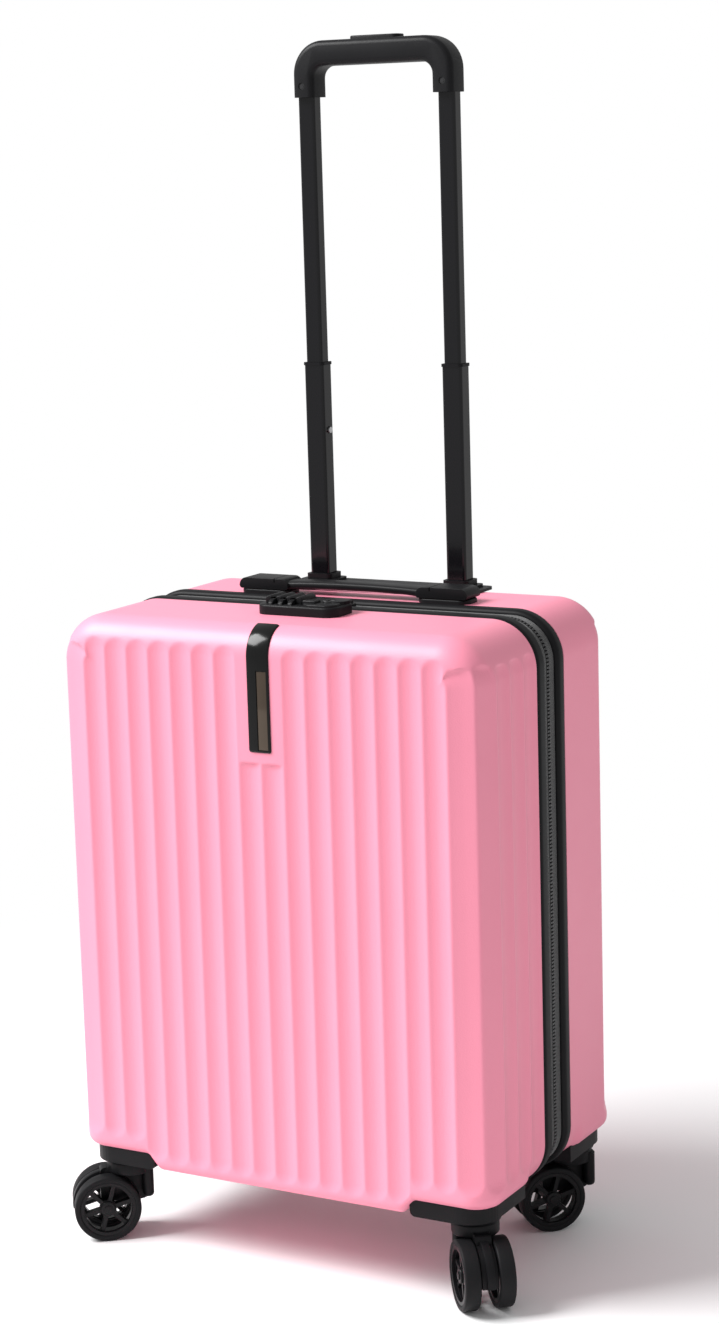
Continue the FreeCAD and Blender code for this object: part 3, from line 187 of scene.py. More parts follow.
def bevel(obj, test, width, steps=3):
    if edit_pick(obj, "EDGE", test):
        bpy.ops.mesh.bevel(offset=width * MM, segments=steps, profile=0.5, affect="EDGES",
                           clamp_overlap=True)
    leave_edit()
    return obj


def every(item):
    return True


def sharp(edge, limit=math.radians(40)):
    return len(edge.link_faces) == 2 and edge.calc_face_angle() > limit


def upright(edge):
    line = edge.verts[1].co - edge.verts[0].co
    return abs(line.z) > 0.99 * line.length


def running(axis):
    """Picks edges along one axis."""
    def test(edge):
        line = edge.verts[1].co - edge.verts[0].co
        return abs(line[axis]) > 0.99 * line.length
    return test


def edges_at(axis, level, slack=0.05):
    """Picks edges that lie at a level across one axis, in millimetres."""
    def test(edge):
        return all(abs(v.co[axis] / MM - level) < slack for v in edge.verts)
    return test


def faces_facing(direction, least=0.9):
    way = Vector(direction)
    return lambda face: face.normal.dot(way) > least


def inset(obj, test, width, depth=0.0):
    """Insets the faces that a test picks and moves them in or out."""
    if edit_pick(obj, "FACE", test):
        bpy.ops.mesh.inset(thickness=width * MM, depth=depth * MM)
    leave_edit()
    return obj


def carve(obj, *tools, operation="DIFFERENCE"):
    """Cuts tools out of a piece, or joins them on, and removes them."""
    for tool in tools:
        only(obj)
        modifier = obj.modifiers.new("carve", "BOOLEAN")
        modifier.operation = operation
        modifier.solver = "EXACT"
        modifier.object = tool
        bpy.ops.object.modifier_apply(modifier=modifier.name)
        bpy.data.objects.remove(tool, do_unlink=True)
    return obj


def together(*pieces):
    """Joins loose pieces into one object."""
    only(pieces[0])
    for piece in pieces[1:]:
        piece.select_set(True)
    if len(pieces) > 1:
        bpy.ops.object.join()
    return bpy.context.object


def copy_of(obj):
    deselect()
    twin = obj.copy()
    twin.data = obj.data.copy()
    bpy.context.scene.collection.objects.link(twin)
    return twin


def outward(obj):
    """Merges doubles and turns every face outwards."""
    edit_pick(obj, "VERT", every)
    bpy.ops.mesh.remove_doubles(threshold=0.00001)
    bpy.ops.mesh.normals_make_consistent(inside=False)
    leave_edit()
    return obj


def capped(obj):
    """Closes a skin's open ends."""
    edit_pick(obj, "EDGE", lambda e: len(e.link_faces) == 1)
    bpy.ops.mesh.fill()
    leave_edit()
    return outward(obj)


def rounded(obj, *rounds):
    """Rounds a piece's edges in turn, each round a test, a width in millimetres and its steps."""
    for test, width, steps in rounds:
        bevel(obj, test, width, steps)
    return obj


def turned(obj, degrees, axis, about):
    """Turns a piece about an axis through a point, in millimetres."""
    spot = Vector(about) * MM
    turn = Matrix.Rotation(math.radians(degrees), 4, axis)
    obj.data.transform(Matrix.Translation(spot) @ turn @ Matrix.Translation(-spot))
    obj.data.update()
    return obj


def shifted(obj, move):
    obj.data.transform(Matrix.Translation(Vector(move) * MM))
    return obj


def from_rings(rings, closed_ring=True, closed_run=False):
    """A skin over a run of rings, each a list of points in millimetres."""
    rings = np.array(rings, float) * MM
    runs, around = rings.shape[:2]
    faces = []
    for i in range(runs if closed_run else runs - 1):
        for j in range(around if closed_ring else around - 1):
            a, b = i, (i + 1) % runs
            c, d = j, (j + 1) % around
            faces.append((a * around + c, b * around + c, b * around + d, a * around + d))
    data = bpy.data.meshes.new("skin")
    data.from_pydata(rings.reshape(-1, 3).tolist(), [], faces)
    obj = bpy.data.objects.new("skin", data)
    bpy.context.scene.collection.objects.link(obj)
    return obj


def finish(obj, name, body, material, replaces=(), angle=35.0):
    """Names a finished piece, smooths it and hangs it on its body."""
    obj.name = name
    obj.data.name = name
    only(obj)
    bpy.ops.object.shade_smooth_by_angle(angle=math.radians(angle))
    obj.data.materials.clear()
    obj.data.materials.append(material)
    if body is not None:
        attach(obj, body)
    if replaces:
        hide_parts(*replaces)
    return obj


def dress(material, *names):
    """Gives CAD nodes that stay a better material."""
    for name in names:
        data = CAD[name].data
        data.materials.clear()
        data.materials.append(material)


# ------------------------------------------------------------------ materials

def shader_node(tree, kind, inputs=(), **options):
    """Adds a node with its options set, and its inputs linked or set."""
    made = tree.nodes.new("ShaderNode" + kind)
    for key, value in options.items():
        setattr(made, key, value)
    for key, value in dict(inputs).items():
        if isinstance(value, bpy.types.NodeSocket):
            tree.links.new(value, made.inputs[key])
        else:
            made.inputs[key].default_value = value
    return made


def new_group(name, inputs, outputs):
    """A node group's tree, its inputs' sockets and its output node."""
    tree = bpy.data.node_groups.new(name, "ShaderNodeTree")
    for label, kind, value in inputs:
        socket = tree.interface.new_socket(name=label, in_out="INPUT", socket_type="NodeSocket" + kind)
        if value is not None:
            socket.default_value = value
    for label, kind in outputs:
        tree.interface.new_socket(name=label, in_out="OUTPUT", socket_type="NodeSocket" + kind)
    return tree, tree.nodes.new("NodeGroupInput").outputs, tree.nodes.new("NodeGroupOutput").inputs


def moulded_surface_group():
    """Fine grain, slow tone changes and uneven polish, from a place on the piece."""
    tree, source, result = new_group(
        "Moulded surface",
        (("Place", "Vector", None), ("Colour", "Color", (0.5, 0.5, 0.5, 1)), ("Roughness", "Float", 0.4),
         ("Grain per metre", "Float", 1500.0), ("Tone spread", "Float", 0.06),
         ("Polish spread", "Float", 0.08)),
        (("Colour", "Color"), ("Roughness", "Float"), ("Height", "Float")))
    place, grain = source["Place"], source["Grain per metre"]
    cells = shader_node(tree, "TexVoronoi", {"Vector": place, "Scale": grain, "Smoothness": 0.7},
                        feature="SMOOTH_F1")
    fine = shader_node(tree, "TexNoise", {"Vector": place, "Scale": grain, "Detail": 3})
    slow = shader_node(tree, "TexNoise", {"Vector": place, "Scale": 9, "Detail": 2})
    smudge = shader_node(tree, "TexNoise", {"Vector": place, "Scale": 38, "Detail": 4})
    height = shader_node(tree, "Math", {0: cells.outputs["Distance"], 1: fine.outputs["Fac"]})

    def around(texture, spread, middle):
        shift = shader_node(tree, "Math", {0: texture.outputs["Fac"], 1: 0.5}, operation="SUBTRACT")
        swing = shader_node(tree, "Math", {0: shift.outputs[0], 1: source[spread]},
                            operation="MULTIPLY")
        return shader_node(tree, "Math", {0: swing.outputs[0], 1: middle}).outputs[0]

    tone = shader_node(tree, "HueSaturation", {"Value": around(slow, "Tone spread", 1.0),
                                               "Color": source["Colour"]})
    tree.links.new(tone.outputs["Color"], result["Colour"])
    tree.links.new(around(smudge, "Polish spread", source["Roughness"]), result["Roughness"])
    tree.links.new(height.outputs[0], result["Height"])
    return tree


def woven_group():
    """Over-and-under threads along two of a piece's own axes."""
    tree, source, result = new_group(
        "Plain weave",
        (("Place", "Vector", None), ("Colour", "Color", (0.1, 0.1, 0.1, 1)),
         ("Threads per metre", "Float", 1200.0)),
        (("Colour", "Color"), ("Height", "Float")))
    scale = shader_node(tree, "VectorMath", {0: source["Place"], "Scale": source["Threads per metre"]},
                        operation="SCALE").outputs[0]
    checker = shader_node(tree, "TexChecker", {"Scale": 1.0, "Vector": scale})
    fuzz = shader_node(tree, "TexNoise", {"Scale": 0.35, "Detail": 4, "Vector": scale})
    height = shader_node(tree, "Math", {0: checker.outputs["Fac"], 1: 0.6, 2: fuzz.outputs["Fac"]},
                         operation="MULTIPLY_ADD").outputs[0]
    span = shader_node(tree, "MapRange", {"From Max": 1.6, "To Min": 0.72, "To Max": 1.25,
                                          "Value": height})
    shade = shader_node(tree, "HueSaturation", {"Value": span.outputs["Result"],
                                                "Color": source["Colour"]})
    tree.links.new(height, result["Height"])
    tree.links.new(shade.outputs["Color"], result["Colour"])
    return tree


MOULDED = moulded_surface_group()
WOVEN = woven_group()


def surfaced(name, group, values, bump, relief, gloss):
    """A material that takes its colour and relief from a node group."""
    material = bpy.data.materials.new(name)
    material.use_nodes = True
    tree = material.node_tree
    shader = tree.nodes["Principled BSDF"]
    place = shader_node(tree, "TexCoord").outputs["Object"]
    surface = shader_node(tree, "Group", {"Place": place, **values}, node_tree=group).outputs
    normal = shader_node(tree, "Bump", {"Strength": bump, "Distance": relief,
                                        "Height": surface["Height"]})
    tree.links.new(surface["Colour"], shader.inputs["Base Color"])
    tree.links.new(normal.outputs["Normal"], shader.inputs["Normal"])
    if "Roughness" in surface:
        tree.links.new(surface["Roughness"], shader.inputs["Roughness"])
    for key, value in gloss.items():
        shader.inputs[key].default_value = value
    return material


def moulded(name, colour, roughness, grain=1500.0, bump=0.1, relief=0.0002, tone=0.06,
            polish=0.08, metallic=0.0, coat=0.0, coat_roughness=0.08, specular=0.5):
    """A moulded or metal finish built on the shared surface group."""
    values = {"Colour": tuple(colour)[:3] + (1.0,), "Roughness": roughness, "Grain per metre": grain,
              "Tone spread": tone, "Polish spread": polish}
    gloss = {"Metallic": metallic, "Coat Weight": coat, "Coat Roughness": coat_roughness,
             "Specular IOR Level": specular}
    return surfaced(name, MOULDED, values, bump, relief, gloss)


def woven(name, colour, threads=1200.0, bump=0.5):
    """A plain weave cloth."""
    values = {"Colour": tuple(colour)[:3] + (1.0,), "Threads per metre": threads}
    return surfaced(name, WOVEN, values, bump, 0.0003, {"Roughness": 0.85, "Sheen Weight": 0.35})


FINISH = {}


def make_finishes(shell, trim):
    black = tuple(trim.plastic)
    FINISH["shell"] = moulded("Pink shell", shell.colour, shell.roughness, grain=900, bump=0.22,
                              relief=0.0003, tone=0.05, polish=0.10, coat=0.06, coat_roughness=0.4)
    FINISH["piping"] = moulded("Rubber piping", (0.005, 0.005, 0.006), 0.48, grain=2200, bump=0.06,
                               specular=0.15)
    FINISH["plastic"] = moulded("Satin plastic", black, 0.42, grain=2600, bump=0.16, specular=0.13)
    FINISH["grip"] = moulded("Grip plastic", (0.008, 0.008, 0.009), 0.40, grain=2600, bump=0.14,
                             specular=0.14)
    FINISH["tube"] = moulded("Black anodised tube", (0.004, 0.004, 0.005), 0.16, grain=400, bump=0.02,
                             polish=0.05, coat=0.15, coat_roughness=0.05, specular=0.3)
    FINISH["gloss"] = moulded("Glossy badge", (0.006, 0.006, 0.006), 0.16, grain=300, bump=0.0,
                              polish=0.02, specular=0.2)
    FINISH["bronze"] = moulded("Smoked bronze inlay", (0.085, 0.062, 0.045), 0.10, grain=300,
                               bump=0.0, polish=0.03, metallic=0.6, coat=0.2, coat_roughness=0.05)
    FINISH["steel"] = moulded("Bright steel", (0.62, 0.62, 0.63), 0.26, grain=900, bump=0.05,
                              metallic=1.0)
    FINISH["screw"] = moulded("Blackened screw", (0.05, 0.05, 0.052), 0.35, grain=1200, bump=0.08,
                              metallic=0.9)
    FINISH["wheel"] = moulded("Wheel hub", (0.008, 0.008, 0.009), 0.34, grain=2200, bump=0.10,
                              specular=0.16)
    FINISH["tyre"] = moulded("Tyre", (0.010, 0.010, 0.011), 0.55, grain=1800, bump=0.25, tone=0.14,
                             polish=0.15, specular=0.13)
    FINISH["teeth"] = moulded("Coil teeth", (0.020, 0.020, 0.022), 0.30, grain=3000, bump=0.05)
    FINISH["tape"] = woven("Zip tape cloth", (0.014, 0.014, 0.015), threads=1600)
    FINISH["lining"] = woven("Lining cloth", trim.cloth, threads=900, bump=0.35)
    FINISH["strap"] = woven("Strap webbing", (0.02, 0.02, 0.022), threads=520, bump=0.8)
    FINISH["hinge"] = woven("Hinge cloth", (0.016, 0.016, 0.018), threads=1100)


# ------------------------------------------------------------------ shells

def smooth(t):
    t = np.clip(t, 0.0, 1.0)
    return t * t * (3 - 2 * t)


FLUTE_SHARES = (0.0, 0.035, 0.085, 0.16, 0.27, 0.41, 0.5, 0.59, 0.73, 0.84, 0.915, 0.965)
BOTTOM_ROUND = 9.0
STEP_RISE = 12.0
COLUMN_WIDE = 21.2
STEP_INNER = 111.0
STEP_OUTER = 126.0
RECESS_BACK = 76.0


class ShellForm:
    """Where every point of one half shell goes, in millimetres.

    s runs along a level section from the middle of the face, t up the face; both are
    lengths on the surface.  d is the depth behind the face plane."""

    def __init__(self, settings, depth, side_flutes, square_top):
        self.half = WIDTH / 2
        self.flat = self.half - FACE_EDGE
        self.depth = depth
        self.settings = settings
        self.square_top = square_top
        pitch = settings.flute_pitch
        count = int(self.flat / pitch)
        edges = [k * pitch for k in range(count + 1)]
        side_start = count * pitch
        run = self.flat + BAND_ARC + depth - FACE_EDGE - side_start
        steps = max(1, int(run / pitch))
        edges += [side_start + (k + 1) * run / steps for k in range(steps)]
        self.edges = edges
        self.face_count = count
        self.last_side = side_flutes

    def columns(self):
        """Stations on the face and round its edge, and stations down the side."""
        stops = []
        for low, high in zip(self.edges[:-1], self.edges[1:]):
            stops += [low + share * (high - low) for share in FLUTE_SHARES]
        stops = np.array(stops + [self.edges[-1]])
        limit = self.flat + BAND_ARC
        face = stops[stops < limit - 0.4]
        face = np.concatenate([-face[:0:-1], face])
        face = np.concatenate([[-limit], face, [limit]])
        side = stops[stops > limit + 0.4] - limit + FACE_EDGE
        return face, side

    def floor_rise(self, x):
        """The shell's underside above its lowest level, in the wheel corners' depth."""
        return STEP_RISE * smooth((np.abs(x) - STEP_INNER) / (STEP_OUTER - STEP_INNER))

    def rows(self):
        """(kind, value) stations up the face."""
        rows = [("round", angle) for angle in np.linspace(90, 0, 6)[:-1]]
        rows += [("low", lift) for lift in np.arange(0.0, 30.1, 1.25)]
        middle = np.linspace(150, 405, 6)
        rows += [("level", z) for z in middle]
        if self.square_top:
            rows += [("level", z) for z in (420.0, 423.4, 424.4, 425.0, 425.6, 427.0)]
        rows += [("level", z) for z in (450.0, 478.0)]
        rows += [("level", z) for z in np.arange(488.0, TOP - FACE_EDGE, 1.2)]
        rows += [("crown", angle) for angle in np.concatenate(
            [np.linspace(0, 32, 13), np.linspace(36, 90, 10)])]
        return rows

    def place(self, s, kind, value):
        """x, d, z and t of the unfluted surface at one row."""
        side = np.sign(s)
        run = np.abs(s)
        bend = np.clip((run - self.flat) / FACE_EDGE, 0, math.pi / 2)
        x = np.where(run <= self.flat, run, self.flat + FACE_EDGE * np.sin(bend))
        d = FACE_EDGE * (1 - np.cos(bend))
        normal_x, normal_d = np.sin(bend), -np.cos(bend)
        rise = self.floor_rise(x)
        if kind == "round":
            angle = math.radians(value)
            back = BOTTOM_ROUND * (1 - math.cos(angle))
            z = BASE + rise + BOTTOM_ROUND * (1 - math.sin(angle))
            return side * (x - normal_x * back), d - normal_d * back, z, z
        if kind == "low":
            z = BASE + rise + BOTTOM_ROUND + value
            return side * x, d, z, z
        if kind == "level" and value <= TOP - OUTLINE_CORNER:
            z = np.full_like(run, value)
            return side * x, d, z, z
        # the crown: the outline's round corner and the face's round edge together
        u_x = np.where(run <= self.flat, self.half - run,
                       FACE_EDGE * (1 - (run - self.flat) / BAND_ARC))
        if kind == "level":
            u_z = TOP - value
            t = value
        else:
            u_z = FACE_EDGE * (1 - value / 90.0)
            t = TOP - FACE_EDGE + FACE_EDGE * math.radians(value)
        u_x = np.maximum(u_x, 0.0)
        a = np.clip((OUTLINE_CORNER - u_x) / OUTLINE_CORNER, 0, 1)
        b = (OUTLINE_CORNER - u_z) / OUTLINE_CORNER
        most = np.maximum(a, b)
        near = OUTLINE_CORNER * (1 - most)
        turn = math.pi / 2 * (1 - np.clip(near / FACE_EDGE, 0, 1))
        back = np.where(near >= FACE_EDGE, near, FACE_EDGE * (1 - np.sin(turn)))
        d = np.where(near >= FACE_EDGE, 0.0, FACE_EDGE * (1 - np.cos(turn)))
        reach = OUTLINE_CORNER - back
        norm = np.maximum(np.hypot(a, b), 1e-9)
        inner = self.half - OUTLINE_CORNER
        x = np.where(a > 0, inner + reach * a / norm, run)
        z = TOP - OUTLINE_CORNER + reach * np.where(a > 0, b / norm, 1.0)
        return side * x, d, z, np.full_like(run, t)

    def hollow(self, s, t):
        """Depth of the flute at a station."""
        run = np.abs(s)
        edges = np.array(self.edges)
        index = np.clip(np.searchsorted(edges, run, side="right") - 1, 0, len(edges) - 2)
        low, high = edges[index], edges[index + 1]
        centre = (low + high) / 2
        half = (high - low) / 2
        centre_x = np.minimum(centre, self.half)
        foot = BASE + self.floor_rise(centre_x) + np.where(centre_x > STEP_OUTER, 11.5, 8.0)
        top = np.full_like(run, TOP - self.settings.flute_top)
        on_face = index < self.face_count
        top = np.where(run > self.flat + BAND_ARC, top - 5.0, top)
        square = np.logical_and(index == 0, self.square_top)
        over = np.maximum(t - (top - half), 0)
        under = np.maximum((foot + half) - t, 0)
        across = np.hypot(np.abs(run - centre), np.where(square, 0, over) + under)
        share = across / (half * 0.94)
        deep = np.where(on_face, self.settings.flute_depth, self.settings.flute_depth + 0.5)
        raw = deep * (1 - share ** 2)
        soft = 0.09
        cut = 0.5 * (raw + np.sqrt(raw ** 2 + soft ** 2)) - 0.5 * soft
        cut = np.where(square, cut * smooth((425.6 - t) / 2.2), cut)
        cut = np.where(index - self.face_count >= self.last_side, 0, cut)
        return np.maximum(cut, 0)


def fluted_shell(settings, face, rim, side_flutes, square_top):
    """One half shell; face and rim are depths along Y, in millimetres."""
    depth = abs(face - rim)
    form = ShellForm(settings, depth, side_flutes, square_top)
    columns, side = form.columns()
    rows = form.rows()
    deselect()
    bpy.ops.mesh.primitive_grid_add(x_subdivisions=len(columns) - 1, y_subdivisions=len(rows) - 1,
                                    size=1)
    obj = bpy.context.object
    points, stations = [], []
    for kind, value in rows:
        x, d, z, t = form.place(columns, kind, value)
        points.append(np.stack([x, d, z], 1))
        stations.append(np.stack([columns, t, x], 1))
    grid = np.array(points)
    marks = np.array(stations)
    ring = ([(0, j) for j in range(len(columns))]
            + [(i, len(columns) - 1) for i in range(1, len(rows))]
            + [(len(rows) - 1, j) for j in range(len(columns) - 2, -1, -1)]
            + [(i, 0) for i in range(len(rows) - 2, 0, -1)])
    rim_outline = rim_places(form, [grid[i, j] for i, j in ring])
    count = len(grid) * len(columns)
    walls, wall_marks = [], []
    start = np.array([grid[i, j] for i, j in ring])
    base_mark = np.array([marks[i, j] for i, j in ring])
    on_side = np.array([j in (0, len(columns) - 1) for i, j in ring])
    for d in side:
        share = smooth((d - (RECESS_BACK - 9)) / 14.0)
        ring_d = np.maximum(start[:, 1], 0) * 0 + d
        place = start * (1 - share) + rim_outline * share
        place[:, 1] = np.maximum(ring_d, start[:, 1])
        walls.append(place)
        mark = base_mark.copy()
        mark[:, 0] = np.sign(base_mark[:, 0]) * (form.flat + BAND_ARC + d - FACE_EDGE)
        mark[~on_side, 1] = 1e4
        wall_marks.append(mark)
    vertices = np.concatenate([grid.reshape(-1, 3)] + walls)
    marks = np.concatenate([marks.reshape(-1, 3)] + wall_marks)
    faces = []
    wide = len(columns)
    for i in range(len(rows) - 1):
        for j in range(wide - 1):
            faces.append((i * wide + j, i * wide + j + 1, (i + 1) * wide + j + 1, (i + 1) * wide + j))
    first = [i * wide + j for i, j in ring]
    around = len(ring)
    for level in range(len(side)):
        inner = first if level == 0 else [count + (level - 1) * around + k for k in range(around)]
        outer = [count + level * around + k for k in range(around)]
        for k in range(around):
            n = (k + 1) % around
            faces.append((inner[n], inner[k], outer[k], outer[n]))
    data = obj.data
    data.clear_geometry()
    data.from_pydata((vertices * MM).tolist(), [], faces)
    data.update()
    normals = np.array([v.normal for v in data.vertices])
    depth_cut = form.hollow(marks[:, 0], marks[:, 1])
    depth_cut[marks[:, 1] > 9e3] = 0
    vertices = vertices - normals * depth_cut[:, None]
    sign = 1.0 if rim > face else -1.0
    final = np.stack([vertices[:, 0] * sign, face + sign * vertices[:, 1], vertices[:, 2]], 1)
    data.vertices.foreach_set("co", (final * MM).ravel())
    data.update()
    only(obj)
    wall = obj.modifiers.new("wall", "SOLIDIFY")
    wall.thickness = 1.5 * MM
    wall.offset = -1
    wall.use_rim = True
    bpy.ops.object.modifier_apply(modifier=wall.name)
    return obj


def rim_places(form, ring):
    """Where the wall's ring ends at the rim: the outline with one corner radius all round."""
    inner = form.half - OUTLINE_CORNER
    out = []
    quarter = OUTLINE_CORNER * math.pi / 2
    floor = BASE + STEP_RISE
    flat_run = form.half - BOTTOM_ROUND - inner
    whole = flat_run + BOTTOM_ROUND * math.pi / 2 + (BASE + OUTLINE_CORNER - floor - BOTTOM_ROUND)
    for x, d, z in ring:
        side = 1.0 if x >= 0 else -1.0
        run = abs(x)
        if run <= inner and z < BASE + OUTLINE_CORNER:
            out.append((x, d, BASE))
            continue
        if z >= BASE + OUTLINE_CORNER or run < inner:
            out.append((x, d, z))
            continue
        if run <= form.half - BOTTOM_ROUND and z < floor + 0.5:
            length = run - inner
        elif z < floor + BOTTOM_ROUND:
            angle = math.acos(min(1.0, max(-1.0, 1 - (z - floor) / BOTTOM_ROUND)))
            length = flat_run + BOTTOM_ROUND * angle
        else:
            length = flat_run + BOTTOM_ROUND * math.pi / 2 + z - floor - BOTTOM_ROUND
        angle = length / whole * quarter / OUTLINE_CORNER
        out.append((side * (inner + OUTLINE_CORNER * math.sin(angle)), d,
                    BASE + OUTLINE_CORNER * (1 - math.cos(angle))))
    return np.array(out)


def middle_of(node):
    """The middle of a CAD node's box, in millimetres."""
    low, high = corners(node)
    return (low + high) / 2


def mirrored(side, near, far):
    """The low and high end of a span given for the right side, on the side asked for."""
    return sorted((side * near, side * far))


class SUITCASE_OT_shells(bpy.types.Operator):
    """Model the two fluted shells"""

    bl_idname = "suitcase.shells"
    bl_label = "Fluted shells"

    def execute(self, context):
        settings = context.scene.suitcase_shell
        front = fluted_shell(settings, FRONT_LOW[1], FRONT_HIGH[1], 9, True)
        finish(front, "front_shell_fluted", "lid", FINISH["shell"], ["front_shell"], 60)
        rear = fluted_shell(settings, REAR_HIGH[1], REAR_LOW[1], 2, False)
        low, high = corners("outer_tubes")
        for side in (-1, 1):
            start, end = mirrored(side, high[0], high[0] - COLUMN_WIDE)
            carve(rear, block((start - 0.2, low[1] - 0.2, TOP - 12),
                              (end + 0.2, high[1] + 0.2, TOP + 6)))
        finish(rear, "rear_shell_fluted", "case", FINISH["shell"], ["rear_shell"], 60)
        return {"FINISHED"}


# ------------------------------------------------------------------ zip band

def four_corners(reach_x, reach_z, middle, radius, steps):
    """(x, z, nx, nz) along the round corners of an upright rectangle, from the lower right one."""
    points = []
    for sx, sz, start in ((1, -1, 270), (1, 1, 0), (-1, 1, 90), (-1, -1, 180)):
        for step in range(steps + 1):
            angle = math.radians(start + 90 * step / steps)
            nx, nz = math.cos(angle), math.sin(angle)
            points.append((sx * reach_x + radius * nx, middle + sz * reach_z + radius * nz, nx, nz))
    return points


def outline(out, run_steps=24):
    """(x, z, nx, nz) round the case's outline, moved outwards."""
    points = four_corners(WIDTH / 2 - OUTLINE_CORNER, (TOP - BASE) / 2 - OUTLINE_CORNER,
                          (TOP + BASE) / 2, OUTLINE_CORNER + out, 14)
    filled = []
    for a, b in zip(points, points[1:] + points[:1]):
        filled.append(a)
        gap = math.hypot(b[0] - a[0], b[1] - a[1])
        if gap > 30:
            for step in range(1, run_steps):
                share = step / run_steps
                filled.append(tuple(a[i] + (b[i] - a[i]) * share for i in range(4)))
    return filled


def banded(section):
    """A closed section of (y, outwards) points swept round the case's outline."""
    rings = [[(x, y, z) for x, z, *_ in outline(out)] for y, out in section]
    return from_rings(rings, closed_run=True)


def piping_section(low, high, proud, deep, steps=7):
    """A crowned rubber moulding with a lip on each side."""
    round_y = min(4.4, (high - low) / 2 - 0.5)
    shoulder = 2.6
    rise = []
    for step in range(steps + 1):
        angle = math.pi / 2 * step / steps
        rise.append((round_y * (1 - math.cos(angle)),
                     -shoulder + (proud + shoulder) * math.sin(angle)))
    return ([(low, -deep)] + [(low + across, out) for across, out in rise]
            + [((low + high) / 2, proud + 0.05)]
            + [(high - across, out) for across, out in reversed(rise)] + [(high, -deep)])


def at_hinge(x, z, margin):
    """Whether a point of the outline lies along the cloth hinge, or this near its ends."""
    low, high = corners("hinge_tape")
    return x < -WIDTH / 2 + 20 and low[2] - margin < z < high[2] + margin


def outline_stations(out, pitch):
    """Evenly spaced (x, z, angle) round the outline, leaving out the hinge's stretch."""
    points = outline(out)
    places, carry = [], 0.0
    for a, b in zip(points, points[1:] + points[:1]):
        gap = math.hypot(b[0] - a[0], b[1] - a[1])
        while carry < gap:
            share = carry / gap
            x, z, nx, nz = (a[i] + (b[i] - a[i]) * share for i in range(4))
            if not at_hinge(x, z, 3):
                places.append((x, z, math.atan2(nz, nx)))
            carry += pitch
        carry -= gap
    return places


def teeth_run(low_y, high_y, out, pitch):
    """Zip teeth round the band; each is a small rounded bar."""
    tooth = rounded(block((-1.0, low_y, -pitch * 0.36), (0.9, high_y, pitch * 0.36)), (every, 0.35, 1))
    base = np.array([v.co for v in tooth.data.vertices])
    faces = [tuple(p.vertices) for p in tooth.data.polygons]
    vertices, polygons = [], []
    for index, (x, z, angle) in enumerate(outline_stations(out, pitch)):
        c, s = math.cos(angle), math.sin(angle)
        place = np.stack([x * MM + base[:, 0] * c - base[:, 2] * s, base[:, 1],
                          z * MM + base[:, 0] * s + base[:, 2] * c], 1)
        start = index * len(base)
        vertices.append(place)
        polygons += [tuple(start + i for i in face) for face in faces]
    data = bpy.data.meshes.new("teeth")
    data.from_pydata(np.concatenate(vertices).tolist(), [], polygons)
    bpy.data.objects.remove(tooth, do_unlink=True)
    obj = bpy.data.objects.new("teeth", data)
    bpy.context.scene.collection.objects.link(obj)
    return outward(obj)


def thicken(obj, thickness, offset=0.0):
    only(obj)
    wall = obj.modifiers.new("cloth", "SOLIDIFY")
    wall.thickness = thickness * MM
    wall.offset = offset
    bpy.ops.object.modifier_apply(modifier=wall.name)
    return obj


def tape_strip(low_y, high_y, out):
    """Zip tape round the outline, open where the hinge is, and the tape's length."""
    points = [(x, z) for x, z, *_ in outline(out, 40)]
    keep = [not at_hinge(x, z, -2) for x, z in points]
    start = next(i for i in range(len(points)) if keep[i] and not keep[i - 1])
    run = []
    for step in range(len(points)):
        index = (start + step) % len(points)
        if not keep[index]:
            break
        run.append(points[index])
    rings = [[(x, y, z) for x, z in run] for y in np.linspace(low_y, high_y, 5)]
    obj = from_rings(rings, closed_ring=False)
    length = sum(math.hypot(b[0] - a[0], b[1] - a[1]) for a, b in zip(run, run[1:]))
    return thicken(obj, 0.7), length


class SUITCASE_OT_band(bpy.types.Operator):
    """Model the rubber pipings, the zip tapes and their teeth"""

    bl_idname = "suitcase.band"
    bl_label = "Zip band"

    def execute(self, context):
        pitch = context.scene.suitcase_trim.teeth_pitch
        for face, body in (("front", "lid"), ("rear", "case")):
            low, high = corners(face + "_piping")
            proud = high[0] - WIDTH / 2
            piping = outward(banded(piping_section(low[1], high[1], proud, 5.6)))
            finish(piping, face + "_piping_rubber", body, FINISH["piping"],
                   [face + "_piping"], 50)
            low, high = corners(face + "_zip_tape")
            out = high[0] - WIDTH / 2 - 0.6
            tucked_low, tucked_high = (1.9, 0) if face == "front" else (0, 1.9)
            start, end = low[1] + 0.1 - tucked_low, high[1] - 0.1 + tucked_high
            strip, length = tape_strip(start, end, out)
            finish(strip, face + "_zip_tape_cloth", body, FINISH["tape"],
                   [face + "_zip_tape"])
            low, high = corners(face + "_zip_teeth")
            out = high[0] - WIDTH / 2 - 1.0
            teeth = teeth_run(low[1], high[1], out, pitch)
            finish(teeth, face + "_zip_teeth_run", body, FINISH["teeth"],
                   [face + "_zip_teeth"])
        return {"FINISHED"}


